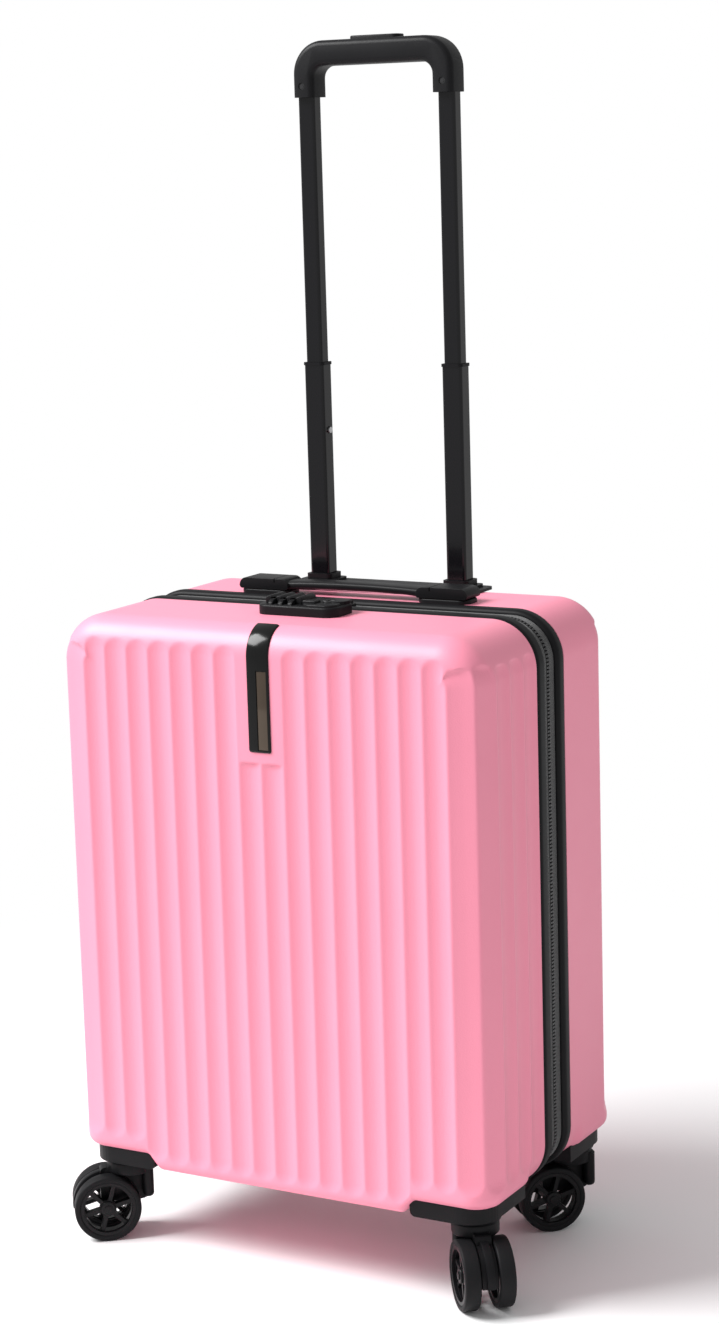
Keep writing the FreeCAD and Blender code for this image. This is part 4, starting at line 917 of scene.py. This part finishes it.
class SUITCASE_OT_hinge(bpy.types.Operator):
    """Model the cloth hinge between the two halves"""

    bl_idname = "suitcase.hinge"
    bl_label = "Cloth hinge"

    def execute(self, context):
        low, high = corners("hinge_tape")
        x = (low[0] + high[0]) / 2
        rings = []
        for z in np.linspace(low[2], high[2], 60):
            ring = []
            for y in np.linspace(low[1] - 0.1, high[1] + 0.1, 17):
                share = (y - low[1]) / (high[1] - low[1])
                sag = 0.9 * math.sin(math.pi * min(max(share, 0), 1))
                ring.append((x + sag + 0.15 * math.sin(z / 6.0), y, z))
            rings.append(ring)
        cloth = from_rings(rings, closed_ring=False)
        thicken(cloth, 0.8)
        outward(cloth)
        finish(cloth, "hinge_cloth", None, FINISH["hinge"], ["hinge_tape"])
        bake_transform(cloth)
        return {"FINISHED"}


# ------------------------------------------------------------------ lining and straps

def lining_cloth(face, open_way, rounding):
    """A stitched cloth tray that follows a lining's outer shape."""
    low, high = corners(face + "_lining")
    tray = block(low + 1.1, high - 1.1)
    edge_y = low[1] + 1.1 if open_way < 0 else high[1] - 1.1
    edit_pick(tray, "FACE", faces_facing((0, -open_way, 0)))
    bpy.ops.mesh.delete(type="FACE")
    leave_edit()
    bevel(tray, running(1), 30, 8)
    bevel(tray, lambda e: len(e.link_faces) == 2 and edges_at(1, edge_y)(e), rounding, 6)
    edit_pick(tray, "FACE", every)
    bpy.ops.mesh.subdivide(number_cuts=1)
    bpy.ops.mesh.quads_convert_to_tris()
    bpy.ops.mesh.tris_convert_to_quads()
    leave_edit()
    return thicken(tray, 0.8, -1)


def binding(face, y):
    """The sewn edge binding round a lining's mouth."""
    low, high = corners(face + "_lining")
    half_x, half_z = (high[0] - low[0]) / 2 - 1.0, (high[2] - low[2]) / 2 - 1.0
    middle = (high[2] + low[2]) / 2
    corner, bead, sides = 29.0, 1.5, 10
    path = four_corners(half_x - corner, half_z - corner, middle, corner, 12)
    rings = []
    for step in range(sides):
        turn = 2 * math.pi * step / sides
        inwards = 0.9 - bead * math.cos(turn)
        rings.append([(x - nx * inwards, y + bead * math.sin(turn), z - nz * inwards)
                      for x, z, nx, nz in path])
    return outward(from_rings(rings, closed_run=True))


class SUITCASE_OT_linings(bpy.types.Operator):
    """Model the lining cloth of both halves and its sewn edge"""

    bl_idname = "suitcase.linings"
    bl_label = "Linings"

    def execute(self, context):
        for face, body, way, rounding in (("front", "lid", 1, 19), ("rear", "case", -1, 8)):
            low, high = corners(face + "_lining")
            cloth = lining_cloth(face, -way, rounding)
            finish(cloth, face + "_lining_cloth", body, FINISH["lining"],
                   [face + "_lining"], 60)
            mouth = high[1] - 1.6 if way > 0 else low[1] + 1.6
            edge = binding(face, mouth)
            finish(edge, face + "_lining_binding", body, FINISH["strap"])
        return {"FINISHED"}


class SUITCASE_OT_straps(bpy.types.Operator):
    """Model the packing straps and their buckle"""

    bl_idname = "suitcase.straps"
    bl_label = "Packing straps"

    def execute(self, context):
        low, high = corners("packing_straps")
        surface = high[1]
        mid_z = (low[2] + high[2]) / 2
        half = 12.5
        pieces = []
        for start, end in ((low[0], -20.0), (22.0, high[0])):
            rings = []
            for x in np.linspace(start, end, 40):
                lift = 0.5 * math.sin(x / 17.0) + 0.6
                rings.append([(x, surface - lift - 0.8, mid_z - half),
                              (x, surface - lift - 1.1, mid_z - half * 0.4),
                              (x, surface - lift - 1.1, mid_z + half * 0.4),
                              (x, surface - lift - 0.8, mid_z + half)])
            pieces.append(thicken(from_rings(rings, closed_ring=False), 1.3))
        straps = outward(together(*pieces))
        finish(straps, "strap_webbing", "case", FINISH["strap"])
        socket = rounded(block((-24, surface - 7, mid_z - half - 4), (4, surface - 0.4, mid_z + half + 4)),
                         (every, 1.8, 3))
        inset(socket, faces_facing((0, -1, 0)), 3, -1)
        prongs = rounded(block((3, surface - 6, mid_z - half - 1), (21, surface - 1, mid_z + half + 1)),
                         (every, 1.5, 3))
        bar = rounded(block((16, surface - 6.6, mid_z - half - 2), (23, surface - 0.6, mid_z + half + 2)),
                      (every, 1.5, 3))
        buckle = together(socket, prongs, bar)
        finish(buckle, "strap_buckle", "case", FINISH["plastic"], ["packing_straps"])
        return {"FINISHED"}


# ------------------------------------------------------------------ casters

WHEEL_RADIUS = 28.0
WHEEL_WIDTH = 13.0
WHEEL_GAP = 15.0
SPOKES = 6


def wheel_parts(centre, outer_side):
    """Hub and tyre of one wheel on an axis along Y; outer_side is the way its face looks."""
    cx, cy, cz = centre
    tyre = drum(centre, WHEEL_RADIUS, WHEEL_WIDTH, "y", 72)
    bore = drum(centre, WHEEL_RADIUS - 5, WHEEL_WIDTH + 4, "y", 72)
    carve(tyre, bore)
    bevel(tyre, lambda e: sharp(e) and e.verts[0].co.xz.length > 0, 1.6, 3)
    hub = drum(centre, WHEEL_RADIUS - 4.9, WHEEL_WIDTH - 1.2, "y", 72)
    tools = [drum((cx, cy + side * (WHEEL_WIDTH / 2), cz), WHEEL_RADIUS - 7.6, 6.4, "y", 60)
             for side in (-1, 1)]
    windows = drum(centre, WHEEL_RADIUS - 8.4, 30, "y", 72)
    spokes = [drum(centre, 7.0, 40, "y", 48)]
    for index in range(SPOKES // 2):
        spoke = block((cx - 30, cy - 20, cz - 1.7), (cx + 30, cy + 20, cz + 1.7))
        spokes.append(turned(spoke, 360 / SPOKES * index + 15, "Y", centre))
    carve(windows, *spokes)
    tools.append(windows)
    carve(hub, *tools)
    cap = rounded(drum(centre, 6.4, WHEEL_WIDTH - 2.4, "y", 40), (sharp, 1.2, 3))
    nut = rounded(drum((cx, cy + outer_side * (WHEEL_WIDTH / 2 - 1.2), cz), 3.6, 2.0, "y", 6),
                  (sharp, 0.4, 2))
    return together(hub, cap, nut), tyre


def fork_parts():
    """A caster fork at the origin, trailing along +X, with its neck, cheeks and guard."""
    trail = 21.0
    top = BASE - 4.4
    neck = rounded(drum((0, 0, top - 5.5), 19.2, 11, "z", 64), (sharp, 1.6, 3))
    lead = rounded(block((-18.6, -15.5, 34), (-9.2, 15.5, top - 3)),
                   (upright, 4.4, 5), (edges_at(2, 34), 3.4, 4))
    cheek = rounded(block((-17, -6.8, 30), (trail + 2, 6.8, top - 4)), (running(1), 9, 6), (sharp, 0.9, 2))
    guard = drum((trail, 0, WHEEL_RADIUS), WHEEL_RADIUS - 2.5, 13.6, "y", 72)
    carve(guard, drum((trail, 0, WHEEL_RADIUS), WHEEL_RADIUS - 7, 20, "y", 60),
          block((trail - 40, -20, -10), (trail + 40, 20, WHEEL_RADIUS - 4)))
    bevel(guard, sharp, 0.8, 2)
    hanger = rounded(block((trail - 5, -6.4, WHEEL_RADIUS - 5), (trail + 5, 6.4, top - 6)),
                     (running(1), 4.4, 5))
    rib = drum((trail, 0, WHEEL_RADIUS), WHEEL_RADIUS + 0.6, 6.4, "y", 72)
    carve(rib, block((-40 + trail, -20, -10), (60 + trail, 20, WHEEL_RADIUS - 3)),
          drum((trail, 0, WHEEL_RADIUS), WHEEL_RADIUS - 7, 20, "y", 60))
    bevel(rib, sharp, 0.6, 2)
    axle = drum((trail, 0, WHEEL_RADIUS), 3.0, 2 * WHEEL_WIDTH + WHEEL_GAP - 3, "y", 28)
    spindle = drum((0, 0, top + 6), 5.9, 16, "z", 32)
    return together(neck, lead, cheek, guard, hanger, rib, axle, spindle)


CASTER_HEADINGS = {"front_left": 218.0, "front_right": -49.0, "rear_left": 62.0, "rear_right": 225.0}
SWIVEL_X = 163.0
SWIVEL_Y = 88.0


def sides_of(corner):
    face, side = corner.split("_")
    return (-1 if side == "left" else 1), (-1 if face == "front" else 1)


class SUITCASE_OT_casters(bpy.types.Operator):
    """Model one twin-wheel caster and set a copy at each corner"""

    bl_idname = "suitcase.casters"
    bl_label = "Casters"

    def execute(self, context):
        fork = fork_parts()
        offset = (WHEEL_GAP + WHEEL_WIDTH) / 2
        wheels = {label: wheel_parts((21.0, side * offset, WHEEL_RADIUS), side)
                  for label, side in (("left", 1), ("right", -1))}
        for corner, heading in CASTER_HEADINGS.items():
            side_x, side_y = sides_of(corner)
            move = (side_x * SWIVEL_X, side_y * SWIVEL_Y, 0)

            def settled(source):
                return shifted(turned(copy_of(source), heading, "Z", (0, 0, 0)), move)

            piece = settled(fork)
            finish(piece, "fork_" + corner, "caster_" + corner, FINISH["plastic"],
                   ["caster_fork_" + corner], 35)
            for label, (hub, tyre) in wheels.items():
                tag = corner + "_" + label
                finish(settled(hub), "hub_" + tag, "wheel_" + tag, FINISH["wheel"],
                       ["wheel_" + tag], 35)
                finish(settled(tyre), "tyre_" + tag, "wheel_" + tag, FINISH["tyre"],
                       (), 35)
        for source in [fork] + [part for pair in wheels.values() for part in pair]:
            bpy.data.objects.remove(source, do_unlink=True)
        return {"FINISHED"}


def housing_parts(side_x, side_y):
    """The moulded foot that fills a shell's corner recess, round the caster's neck."""
    reach = WIDTH / 2 - 7.0
    face = 116.0
    low_x, high_x = mirrored(side_x, 119.5, reach)
    low_y, high_y = mirrored(side_y, 43.0, face)
    plate = block((low_x, low_y, BASE - 0.6), (high_x, high_y, BASE + STEP_RISE + 2))
    corner_test = lambda e: (upright(e) and abs(e.verts[0].co.x) / MM > 150
                             and abs(e.verts[0].co.y) / MM > 80)
    bevel(plate, corner_test, 24, 10)
    bevel(plate, lambda e: running(1)(e) and abs(e.verts[0].co.x) / MM < 121, 5, 6)
    bevel(plate, upright, 7.5, 6)
    bevel(plate, edges_at(2, BASE - 0.6), 2.6, 4)
    centre = (side_x * SWIVEL_X, side_y * SWIVEL_Y, 0)
    deselect()
    bpy.ops.mesh.primitive_cone_add(vertices=64, radius1=20.6 * MM, radius2=22.2 * MM, depth=6 * MM,
                                    location=(centre[0] * MM, centre[1] * MM, (BASE - 1.4) * MM))
    skirt = settle(bpy.context.object)
    bevel(skirt, edges_at(2, BASE - 4.4), 1.2, 3)
    return together(plate, skirt)


class SUITCASE_OT_housings(bpy.types.Operator):
    """Model the wheel housings in the shells' corners"""

    bl_idname = "suitcase.housings"
    bl_label = "Wheel housings"

    def execute(self, context):
        for face, body, side_y in (("front", "lid", -1), ("rear", "case", 1)):
            pair = together(housing_parts(-1, side_y), housing_parts(1, side_y))
            finish(pair, face + "_housings", body, FINISH["plastic"],
                   [face + "_wheel_housings"], 35)
        return {"FINISHED"}


# ------------------------------------------------------------------ lock, badge, pulls

class SUITCASE_OT_lock(bpy.types.Operator):
    """Model the combination lock with its dials, release and key cylinder"""

    bl_idname = "suitcase.lock"
    bl_label = "Lock"

    def execute(self, context):
        low, high = corners("lock_case")
        case = rounded(block(low, (high[0], high[1], high[2] - 2.4)),
                       (upright, 11, 8), (edges_at(2, high[2] - 2.4), 1.8, 4))
        deck = block((low[0] + 6, low[1] + 13, low[2] + 2), (high[0] - 1.2, high[1] - 1.2, high[2]))
        bevel(deck, upright, 9, 7)
        edit_pick(deck, "VERT", lambda v: v.co.z / MM > high[2] - 0.1 and v.co.y / MM < low[1] + 20)
        bpy.ops.transform.translate(value=(0, 3.4 * MM, 0))
        leave_edit()
        bevel(deck, edges_at(2, high[2]), 1.4, 3)
        wedge = rounded(block((4, low[1] + 2.2, low[2] + 2), (high[0] - 2.2, low[1] + 22, high[2] - 0.7)),
                        (upright, 8, 6), (edges_at(2, high[2] - 0.7), 1.3, 3))
        carve(case, deck, wedge, operation="UNION")
        ridges = [rounded(drum((x, low[1] + 22, high[2] - 0.4), 3.9, 23, "y", 32), (sharp, 1.2, 3))
                  for x in (-28.5, -19.5, -10.5, -1.5)]
        carve(case, *ridges, operation="UNION")
        tools = []
        for index in (1, 2, 3):
            name = "lock_dial_%d" % index
            dial_low, dial_high = corners(name)
            tools.append(drum(middle_of(name), (dial_high[2] - dial_low[2]) / 2 + 0.5,
                              dial_high[0] - dial_low[0] + 0.8, "x", 40))
            tools.append(block((dial_low[0] - 0.9, dial_low[1] - 0.2, high[2] - 4.0),
                               (dial_high[0] + 0.9, dial_high[1] + 0.2, high[2] + 2)))
        low_b, high_b = corners("lock_release_button")
        tools.append(block(low_b - (0.3, 0.3, 1.6), (high_b[0] + 0.3, high_b[1] + 0.3, high[2] + 4)))
        low_k, high_k = corners("lock_key_cylinder")
        key = middle_of("lock_key_cylinder")
        tools.append(drum((key[0], key[1], high[2] - 2), 5.1, 12, "z", 40))
        for side in (-1, 1):
            tools.append(block((side * 11 - 3.2, high[1] - 6, low[2] + 3.6),
                               (side * 11 + 3.2, high[1] + 2, high[2] + 4)))
        carve(case, *tools)
        finish(case, "lock_body", "lid", FINISH["plastic"], ["lock_case"], 30)
        for index in (1, 2, 3):
            name = "lock_dial_%d" % index
            dial_low, dial_high = corners(name)
            dial = drum(middle_of(name), (dial_high[2] - dial_low[2]) / 2,
                        dial_high[0] - dial_low[0], "x", 40)
            ends = bevel(dial, lambda e: sharp(e) and not running(0)(e), 0.5, 2)
            edit_pick(ends, "FACE", lambda f: abs(f.normal.x) < 0.05
                      and int(round(math.degrees(math.atan2(f.normal.z, f.normal.y)) / 9 + 0.5)) % 2 == 0)
            bpy.ops.mesh.inset(thickness=0.12 * MM, depth=-0.35 * MM, use_individual=True)
            leave_edit()
            finish(dial, name + "_knurled", "dial_%d" % index, FINISH["grip"], [name], 25)
        button = rounded(block(low_b, high_b), (every, 0.9, 3))
        inset(button, faces_facing((0, 0, 1)), 1.2, -0.4)
        finish(button, "lock_release_key", "lock_button", FINISH["grip"],
               ["lock_release_button"])
        plug = rounded(drum(key, 4.95, high_k[2] - low_k[2], "z", 40), (sharp, 0.6, 2))
        carve(plug, block((key[0] - 0.7, key[1] - 2.8, high_k[2] - 3),
                          (key[0] + 0.7, key[1] + 2.8, high_k[2] + 2)))
        finish(plug, "lock_key_plug", "key_cylinder", FINISH["screw"], ["lock_key_cylinder"])
        return {"FINISHED"}


def strip_over_edge(half_width, inside, outside, low_z, end_angle, end_round=2.2):
    """A strip up the front face and over its top edge, with softened long edges."""
    face = FRONT_LOW[1]
    centre = np.array((face + FACE_EDGE, TOP - FACE_EDGE))
    stations = [(face, z, 0.0) for z in (low_z, low_z + 0.5, low_z + 1.2, low_z + end_round)]
    stations += [(face, z, 0.0) for z in np.linspace(low_z + end_round + 4, TOP - FACE_EDGE, 10)]
    stations += [(None, None, a) for a in np.linspace(4, end_angle, 22)]
    rings = []
    for index, (y, z, angle) in enumerate(stations):
        turn = math.radians(angle)
        if y is None:
            base = centre + np.array((-math.cos(turn), math.sin(turn))) * FACE_EDGE
        else:
            base = np.array((y, z))
        out = np.array((-math.cos(turn), math.sin(turn)))
        tuck = [1.2, 0.45, 0.12, 0][index] if index < 4 else 0
        lift = [0.35, 0.7, 0.92, 1][index] if index < 4 else 1
        if index == len(stations) - 1:
            tuck, lift = 1.0, 0.3
        ring = []
        for x, share in ((-half_width + tuck, -1.0), (-half_width + tuck, 0.35),
                         (-half_width + 0.5 + tuck, 0.8), (-half_width + 1.6 + tuck, 1.0),
                         (0, 1.06), (half_width - 1.6 - tuck, 1.0), (half_width - 0.5 - tuck, 0.8),
                         (half_width - tuck, 0.35), (half_width - tuck, -1.0)):
            high = outside * lift * share if share > 0 else -inside
            spot = base + out * high
            ring.append((x, spot[0], spot[1]))
        rings.append(ring)
    return capped(from_rings(rings))


class SUITCASE_OT_badge(bpy.types.Operator):
    """Model the plain badge strip and its inlay"""

    bl_idname = "suitcase.badge"
    bl_label = "Badge"

    def execute(self, context):
        low, high = corners("badge_trim")
        proud = FRONT_LOW[1] - low[1]
        half = (high[0] - low[0]) / 2
        trim = strip_over_edge(half, 0.1, proud * 0.94, low[2], 80)
        inlay_low, inlay_high = corners("badge_inlay")
        inlay_low[0] = (inlay_low[0] + inlay_high[0]) / 2 - 1
        pocket = block((inlay_low[0] - 0.2, low[1] - 2, inlay_low[2] - 0.2),
                       (inlay_high[0] + 0.2, FRONT_LOW[1] - 0.5, inlay_high[2] + 0.2))
        carve(trim, pocket)
        finish(trim, "badge_strip", "lid", FINISH["gloss"], ["badge_trim"], 30)
        inlay = block((inlay_low[0], FRONT_LOW[1] - proud * 0.72, inlay_low[2]),
                      (inlay_high[0], FRONT_LOW[1] - 0.3, inlay_high[2]))
        bevel(inlay, lambda e: sharp(e) and edges_at(1, FRONT_LOW[1] - proud * 0.72)(e), 0.4, 2)
        finish(inlay, "badge_plate", "lid", FINISH["bronze"], ["badge_inlay"], 30)
        return {"FINISHED"}


class SUITCASE_OT_pulls(bpy.types.Operator):
    """Model the zip sliders and their pullers"""

    bl_idname = "suitcase.pulls"
    bl_label = "Zip pulls"

    def execute(self, context):
        for side in ("left", "right"):
            name = "zip_slider_" + side
            low, high = corners(name)
            plate = rounded(block(low, (high[0], high[1], low[2] + 2.6)),
                            (upright, 2.6, 4), (edges_at(2, low[2] + 2.6), 0.8, 3))
            middle = middle_of(name)
            bridge = block((middle[0] - 4.6, middle[1] - 1.6, low[2] + 1),
                           (middle[0] + 4.6, middle[1] + 1.6, high[2]))
            gap = block((middle[0] - 3.0, middle[1] - 4, low[2] + 2.2),
                        (middle[0] + 3.0, middle[1] + 4, high[2] - 1.2))
            carve(bridge, gap)
            bevel(bridge, sharp, 0.4, 2)
            finish(together(plate, bridge), name + "_body", "slider_" + side,
                   FINISH["screw"], [name], 30)
            name = "zip_puller_" + side
            low, high = corners(name)
            arm = rounded(block((low[0], low[1], low[2] + 0.9), (high[0], high[1] - 0.4, low[2] + 2.7)),
                          (upright, 2.0, 4), (sharp, 0.5, 2))
            carve(arm, drum((middle_of(name)[0], low[1] + 4.5, low[2] + 2), 1.5, 8, "z", 24))
            finish(arm, name + "_tab", "puller_" + side, FINISH["screw"], [name], 30)
        return {"FINISHED"}


# ------------------------------------------------------------------ handles

class SUITCASE_OT_carry(bpy.types.Operator):
    """Model the low carry handle with its end caps and bases"""

    bl_idname = "suitcase.carry"
    bl_label = "Carry handle"

    def execute(self, context):
        low, high = corners("carry_handle_grip")
        base_low, base_high = corners("carry_handle_bases")
        top = high[2]
        mid_y = (low[1] + high[1]) / 2
        wide = high[1] - low[1]
        cap_long = 47.0
        sections = 60
        half_bar = (high[0] - low[0]) / 2 - cap_long + 6
        rings = []
        for step in range(sections + 1):
            x = -half_bar + 2 * half_bar * step / sections
            share = abs(x) / half_bar
            crown = 0.2 - 1.2 * share ** 2
            thick = 7.0 + 1.0 * smooth((share - 0.72) / 0.28)
            half = (wide / 2 - 2.2) - 1.6 * (1 - share ** 2)
            ring = []
            for corner in range(24):
                angle = 2 * math.pi * corner / 24
                c, s = math.cos(angle), math.sin(angle)
                ring.append((x, mid_y + half * math.copysign(abs(c) ** 0.55, c),
                             top - 1.0 + crown - thick / 2 + thick / 2 * math.copysign(abs(s) ** 0.62, s)))
            rings.append(ring)
        pieces = [capped(from_rings(rings))]
        for side in (-1, 1):
            start, end = mirrored(side, high[0], high[0] - cap_long)
            cap = rounded(block((start, low[1], base_high[2] + 0.3), (end, high[1], top)),
                          (lambda e: running(1)(e) and edges_at(2, top)(e), 6.5, 8),
                          (lambda e: running(1)(e) and edges_at(2, base_high[2] + 0.3)(e), 3.5, 6),
                          (sharp, 1.8, 4))
            seam_x = side * (high[0] - cap_long + 13)
            carve(cap, block((seam_x - 0.45, low[1] - 1, top - 3.2),
                             (seam_x + 0.45, high[1] + 1, top + 2)))
            post = drum((side * (high[0] - cap_long / 2), mid_y, base_high[2] - 12), 3.0, 28, "z", 28)
            pieces += [cap, post]
        finish(together(*pieces), "carry_handle_bar", "carry_bar",
               FINISH["grip"], ["carry_handle_grip"], 40)
        bases = []
        for side in (-1, 1):
            start, end = mirrored(side, base_high[0], base_high[0] - cap_long)
            base = rounded(block((start, base_low[1], base_low[2]), (end, base_high[1], base_high[2])),
                           (upright, 8.5, 8), (edges_at(2, base_high[2]), 1.2, 3))
            bases.append(base)
        finish(together(*bases), "carry_handle_feet", "case",
               FINISH["plastic"], ["carry_handle_bases"], 40)
        return {"FINISHED"}


class SUITCASE_OT_grip(bpy.types.Operator):
    """Model the trolley grip with its faceted legs"""

    bl_idname = "suitcase.grip"
    bl_label = "Trolley grip"

    def execute(self, context):
        low, high = corners("trolley_grip")
        half = (high[0] - low[0]) / 2
        foot, top = low[2], high[2]
        mid_y = (low[1] + high[1]) / 2
        leg = bar = 20.5
        column = 65.2
        grip = rounded(block((low[0] + 1.5, low[1], foot), (high[0] - 1.5, high[1], top)),
                       (lambda e: running(1)(e) and edges_at(2, top)(e), 27, 14))
        hole = rounded(block((-half + leg, low[1] - 5, foot - 20), (half - leg, high[1] + 5, top - bar)),
                       (lambda e: running(1)(e) and edges_at(2, top - bar)(e), 10, 8))
        carve(grip, hole)
        bevel(grip, lambda e: sharp(e, 0.6) and (edges_at(1, low[1])(e) or edges_at(1, high[1])(e))
              and max(v.co.z for v in e.verts) / MM > foot + 1, 5.0, 5)
        socket_half = corners("inner_tubes")[1][0] - column
        tools = []
        for side in (-1, 1):
            x = side * column
            tools.append(block((x - socket_half - 0.1, mid_y - 6.7, foot - 3),
                               (x + socket_half + 0.1, mid_y + 6.7, foot + 26)))
            tools.append(drum((x, low[1], foot + 9), 2.8, 3.2, "y", 28))
        low_b, high_b = corners("release_button")
        well = rounded(block((low_b[0] - 0.4, mid_y - 8, top - 7.2), (high_b[0] + 0.4, mid_y + 8, top + 4)),
                       (upright, 6, 6))
        tools.append(well)
        carve(grip, *tools)
        finish(grip, "trolley_grip_bail", "grip_stage", FINISH["grip"], ["trolley_grip"], 40)
        cap = rounded(block((low_b[0], mid_y - 7.5, top - 4), (high_b[0], mid_y + 7.5, high_b[2])),
                      (upright, 5.4, 6), (edges_at(2, high_b[2]), 1.0, 3))
        finish(cap, "release_button_cap", "release", FINISH["grip"], ["release_button"], 35)
        return {"FINISHED"}


class SUITCASE_OT_finishes(bpy.types.Operator):
    """Give the frame's own parts that stay their finishes"""

    bl_idname = "suitcase.finishes"
    bl_label = "Finishes"

    def execute(self, context):
        dress(FINISH["plastic"], *CAD)
        dress(FINISH["tube"], "outer_tubes", "middle_tubes", "inner_tubes")
        dress(FINISH["steel"], "upper_snap_pins", "lower_snap_pins", "button_spring",
              "carry_handle_springs", "lock_spindle", "release_rods")
        dress(FINISH["screw"], "grip_screws", "front_housing_screws", "rear_housing_screws")
        return {"FINISHED"}


# ------------------------------------------------------------------ stage

CAMERA_PLACE = (1.10895, -1.93669, 0.8916)
CAMERA_YAW = 29.26
CAMERA_PITCH = 10.33
CAMERA_ROLL = -1.67


def softbox(name, place, target, size, power):
    data = bpy.data.lights.new(name, "AREA")
    data.shape = "RECTANGLE"
    data.size, data.size_y = size
    data.energy = power
    obj = bpy.data.objects.new(name, data)
    bpy.context.scene.collection.objects.link(obj)
    obj.location = place
    way = Vector(target) - obj.location
    obj.rotation_euler = way.to_track_quat("-Z", "Y").to_euler()


def pale_floor(colour):
    """A matt floor that runs out into plain white a metre away."""
    material = moulded("Pale floor", colour, 0.6, grain=60, bump=0.02, tone=0.02, specular=0.1)
    tree = material.node_tree
    place = shader_node(tree, "TexCoord").outputs["Object"]
    away = shader_node(tree, "VectorMath", {0: place}, operation="LENGTH").outputs["Value"]
    share = shader_node(tree, "MapRange", {"From Min": 0.25, "From Max": 1.1, "Value": away},
                        interpolation_type="SMOOTHSTEP")
    white = shader_node(tree, "Emission")
    mixed = shader_node(tree, "MixShader", {0: share.outputs["Result"],
                                            1: tree.nodes["Principled BSDF"].outputs["BSDF"],
                                            2: white.outputs["Emission"]})
    tree.links.new(mixed.outputs["Shader"], tree.nodes["Material Output"].inputs["Surface"])
    return material


class SUITCASE_OT_stage(bpy.types.Operator):
    """Lay the floor, set the lights and place the camera"""

    bl_idname = "suitcase.stage"
    bl_label = "Stage"

    def execute(self, context):
        settings = context.scene.suitcase_stage
        deselect()
        bpy.ops.mesh.primitive_circle_add(vertices=96, radius=2.6, fill_type="NGON",
                                          location=(0, 0, 0))
        floor = settle(context.object)
        floor.name = "floor"
        floor.data.materials.append(pale_floor(settings.floor))
        world = bpy.data.worlds.new("Soft room")
        context.scene.world = world
        world.use_nodes = True
        tree = world.node_tree
        room = tree.nodes["Background"]
        room.inputs["Color"].default_value = (1, 1, 1, 1)
        room.inputs["Strength"].default_value = settings.ambient
        backdrop = shader_node(tree, "Background", {"Color": (1, 1, 1, 1)})
        seen = shader_node(tree, "LightPath").outputs["Is Camera Ray"]
        either = shader_node(tree, "MixShader", {0: seen, 1: room.outputs["Background"],
                                                 2: backdrop.outputs["Background"]})
        tree.links.new(either.outputs["Shader"], tree.nodes["World Output"].inputs["Surface"])
        middle = (0, 0, 0.35)
        softbox("key_light", (-1.8, -1.3, 2.5), middle, (1.5, 1.5), settings.key_power)
        camera = bpy.data.cameras.new("camera")
        camera.lens = settings.lens
        camera.sensor_width = 36
        camera.clip_end = 100
        obj = bpy.data.objects.new("camera", camera)
        context.scene.collection.objects.link(obj)
        yaw, pitch, roll = (math.radians(v) for v in (CAMERA_YAW, CAMERA_PITCH, CAMERA_ROLL))
        forward = Vector((-math.sin(yaw) * math.cos(pitch), math.cos(yaw) * math.cos(pitch),
                          -math.sin(pitch)))
        right = forward.cross(Vector((0, 0, 1))).normalized()
        up = right.cross(forward)
        across = math.cos(roll) * right + math.sin(roll) * up
        upward = -math.sin(roll) * right + math.cos(roll) * up
        turn = Matrix((across, upward, -forward)).transposed().to_4x4()
        obj.matrix_world = Matrix.Translation(Vector(CAMERA_PLACE)) @ turn
        context.scene.camera = obj
        context.scene.view_settings.view_transform = "Standard"
        return {"FINISHED"}


# ------------------------------------------------------------------ add-on

OPERATORS = [SUITCASE_OT_stage, SUITCASE_OT_finishes, SUITCASE_OT_shells, SUITCASE_OT_band,
             SUITCASE_OT_hinge, SUITCASE_OT_linings, SUITCASE_OT_straps, SUITCASE_OT_casters,
             SUITCASE_OT_housings, SUITCASE_OT_lock, SUITCASE_OT_badge, SUITCASE_OT_pulls,
             SUITCASE_OT_carry, SUITCASE_OT_grip]
SETTINGS = {"suitcase_shell": ShellSettings, "suitcase_trim": TrimSettings,
            "suitcase_stage": StageSettings}


class SUITCASE_PT_panel(bpy.types.Panel):
    """Sizes, colours and the pieces of the suitcase"""

    bl_idname = "SUITCASE_PT_panel"
    bl_label = "Spinner Suitcase"
    bl_space_type = "VIEW_3D"
    bl_region_type = "UI"
    bl_category = "Suitcase"

    def draw(self, context):
        for name, settings in SETTINGS.items():
            box = self.layout.box()
            for field in settings.__annotations__:
                box.prop(getattr(context.scene, name), field)
        for operator in OPERATORS:
            self.layout.operator(operator.bl_idname)


def register():
    for settings in SETTINGS.values():
        bpy.utils.register_class(settings)
    for name, settings in SETTINGS.items():
        setattr(bpy.types.Scene, name, bpy.props.PointerProperty(type=settings))
    for operator in OPERATORS:
        bpy.utils.register_class(operator)
    bpy.utils.register_class(SUITCASE_PT_panel)


def unregister():
    bpy.utils.unregister_class(SUITCASE_PT_panel)
    for operator in reversed(OPERATORS):
        bpy.utils.unregister_class(operator)
    for name in SETTINGS:
        delattr(bpy.types.Scene, name)
    for settings in SETTINGS.values():
        bpy.utils.unregister_class(settings)


def main():
    register()
    scene = bpy.context.scene
    make_finishes(scene.suitcase_shell, scene.suitcase_trim)
    for operator in OPERATORS:
        group, action = operator.bl_idname.split(".")
        getattr(getattr(bpy.ops, group), action)()


if __name__ == "__main__":
    main()
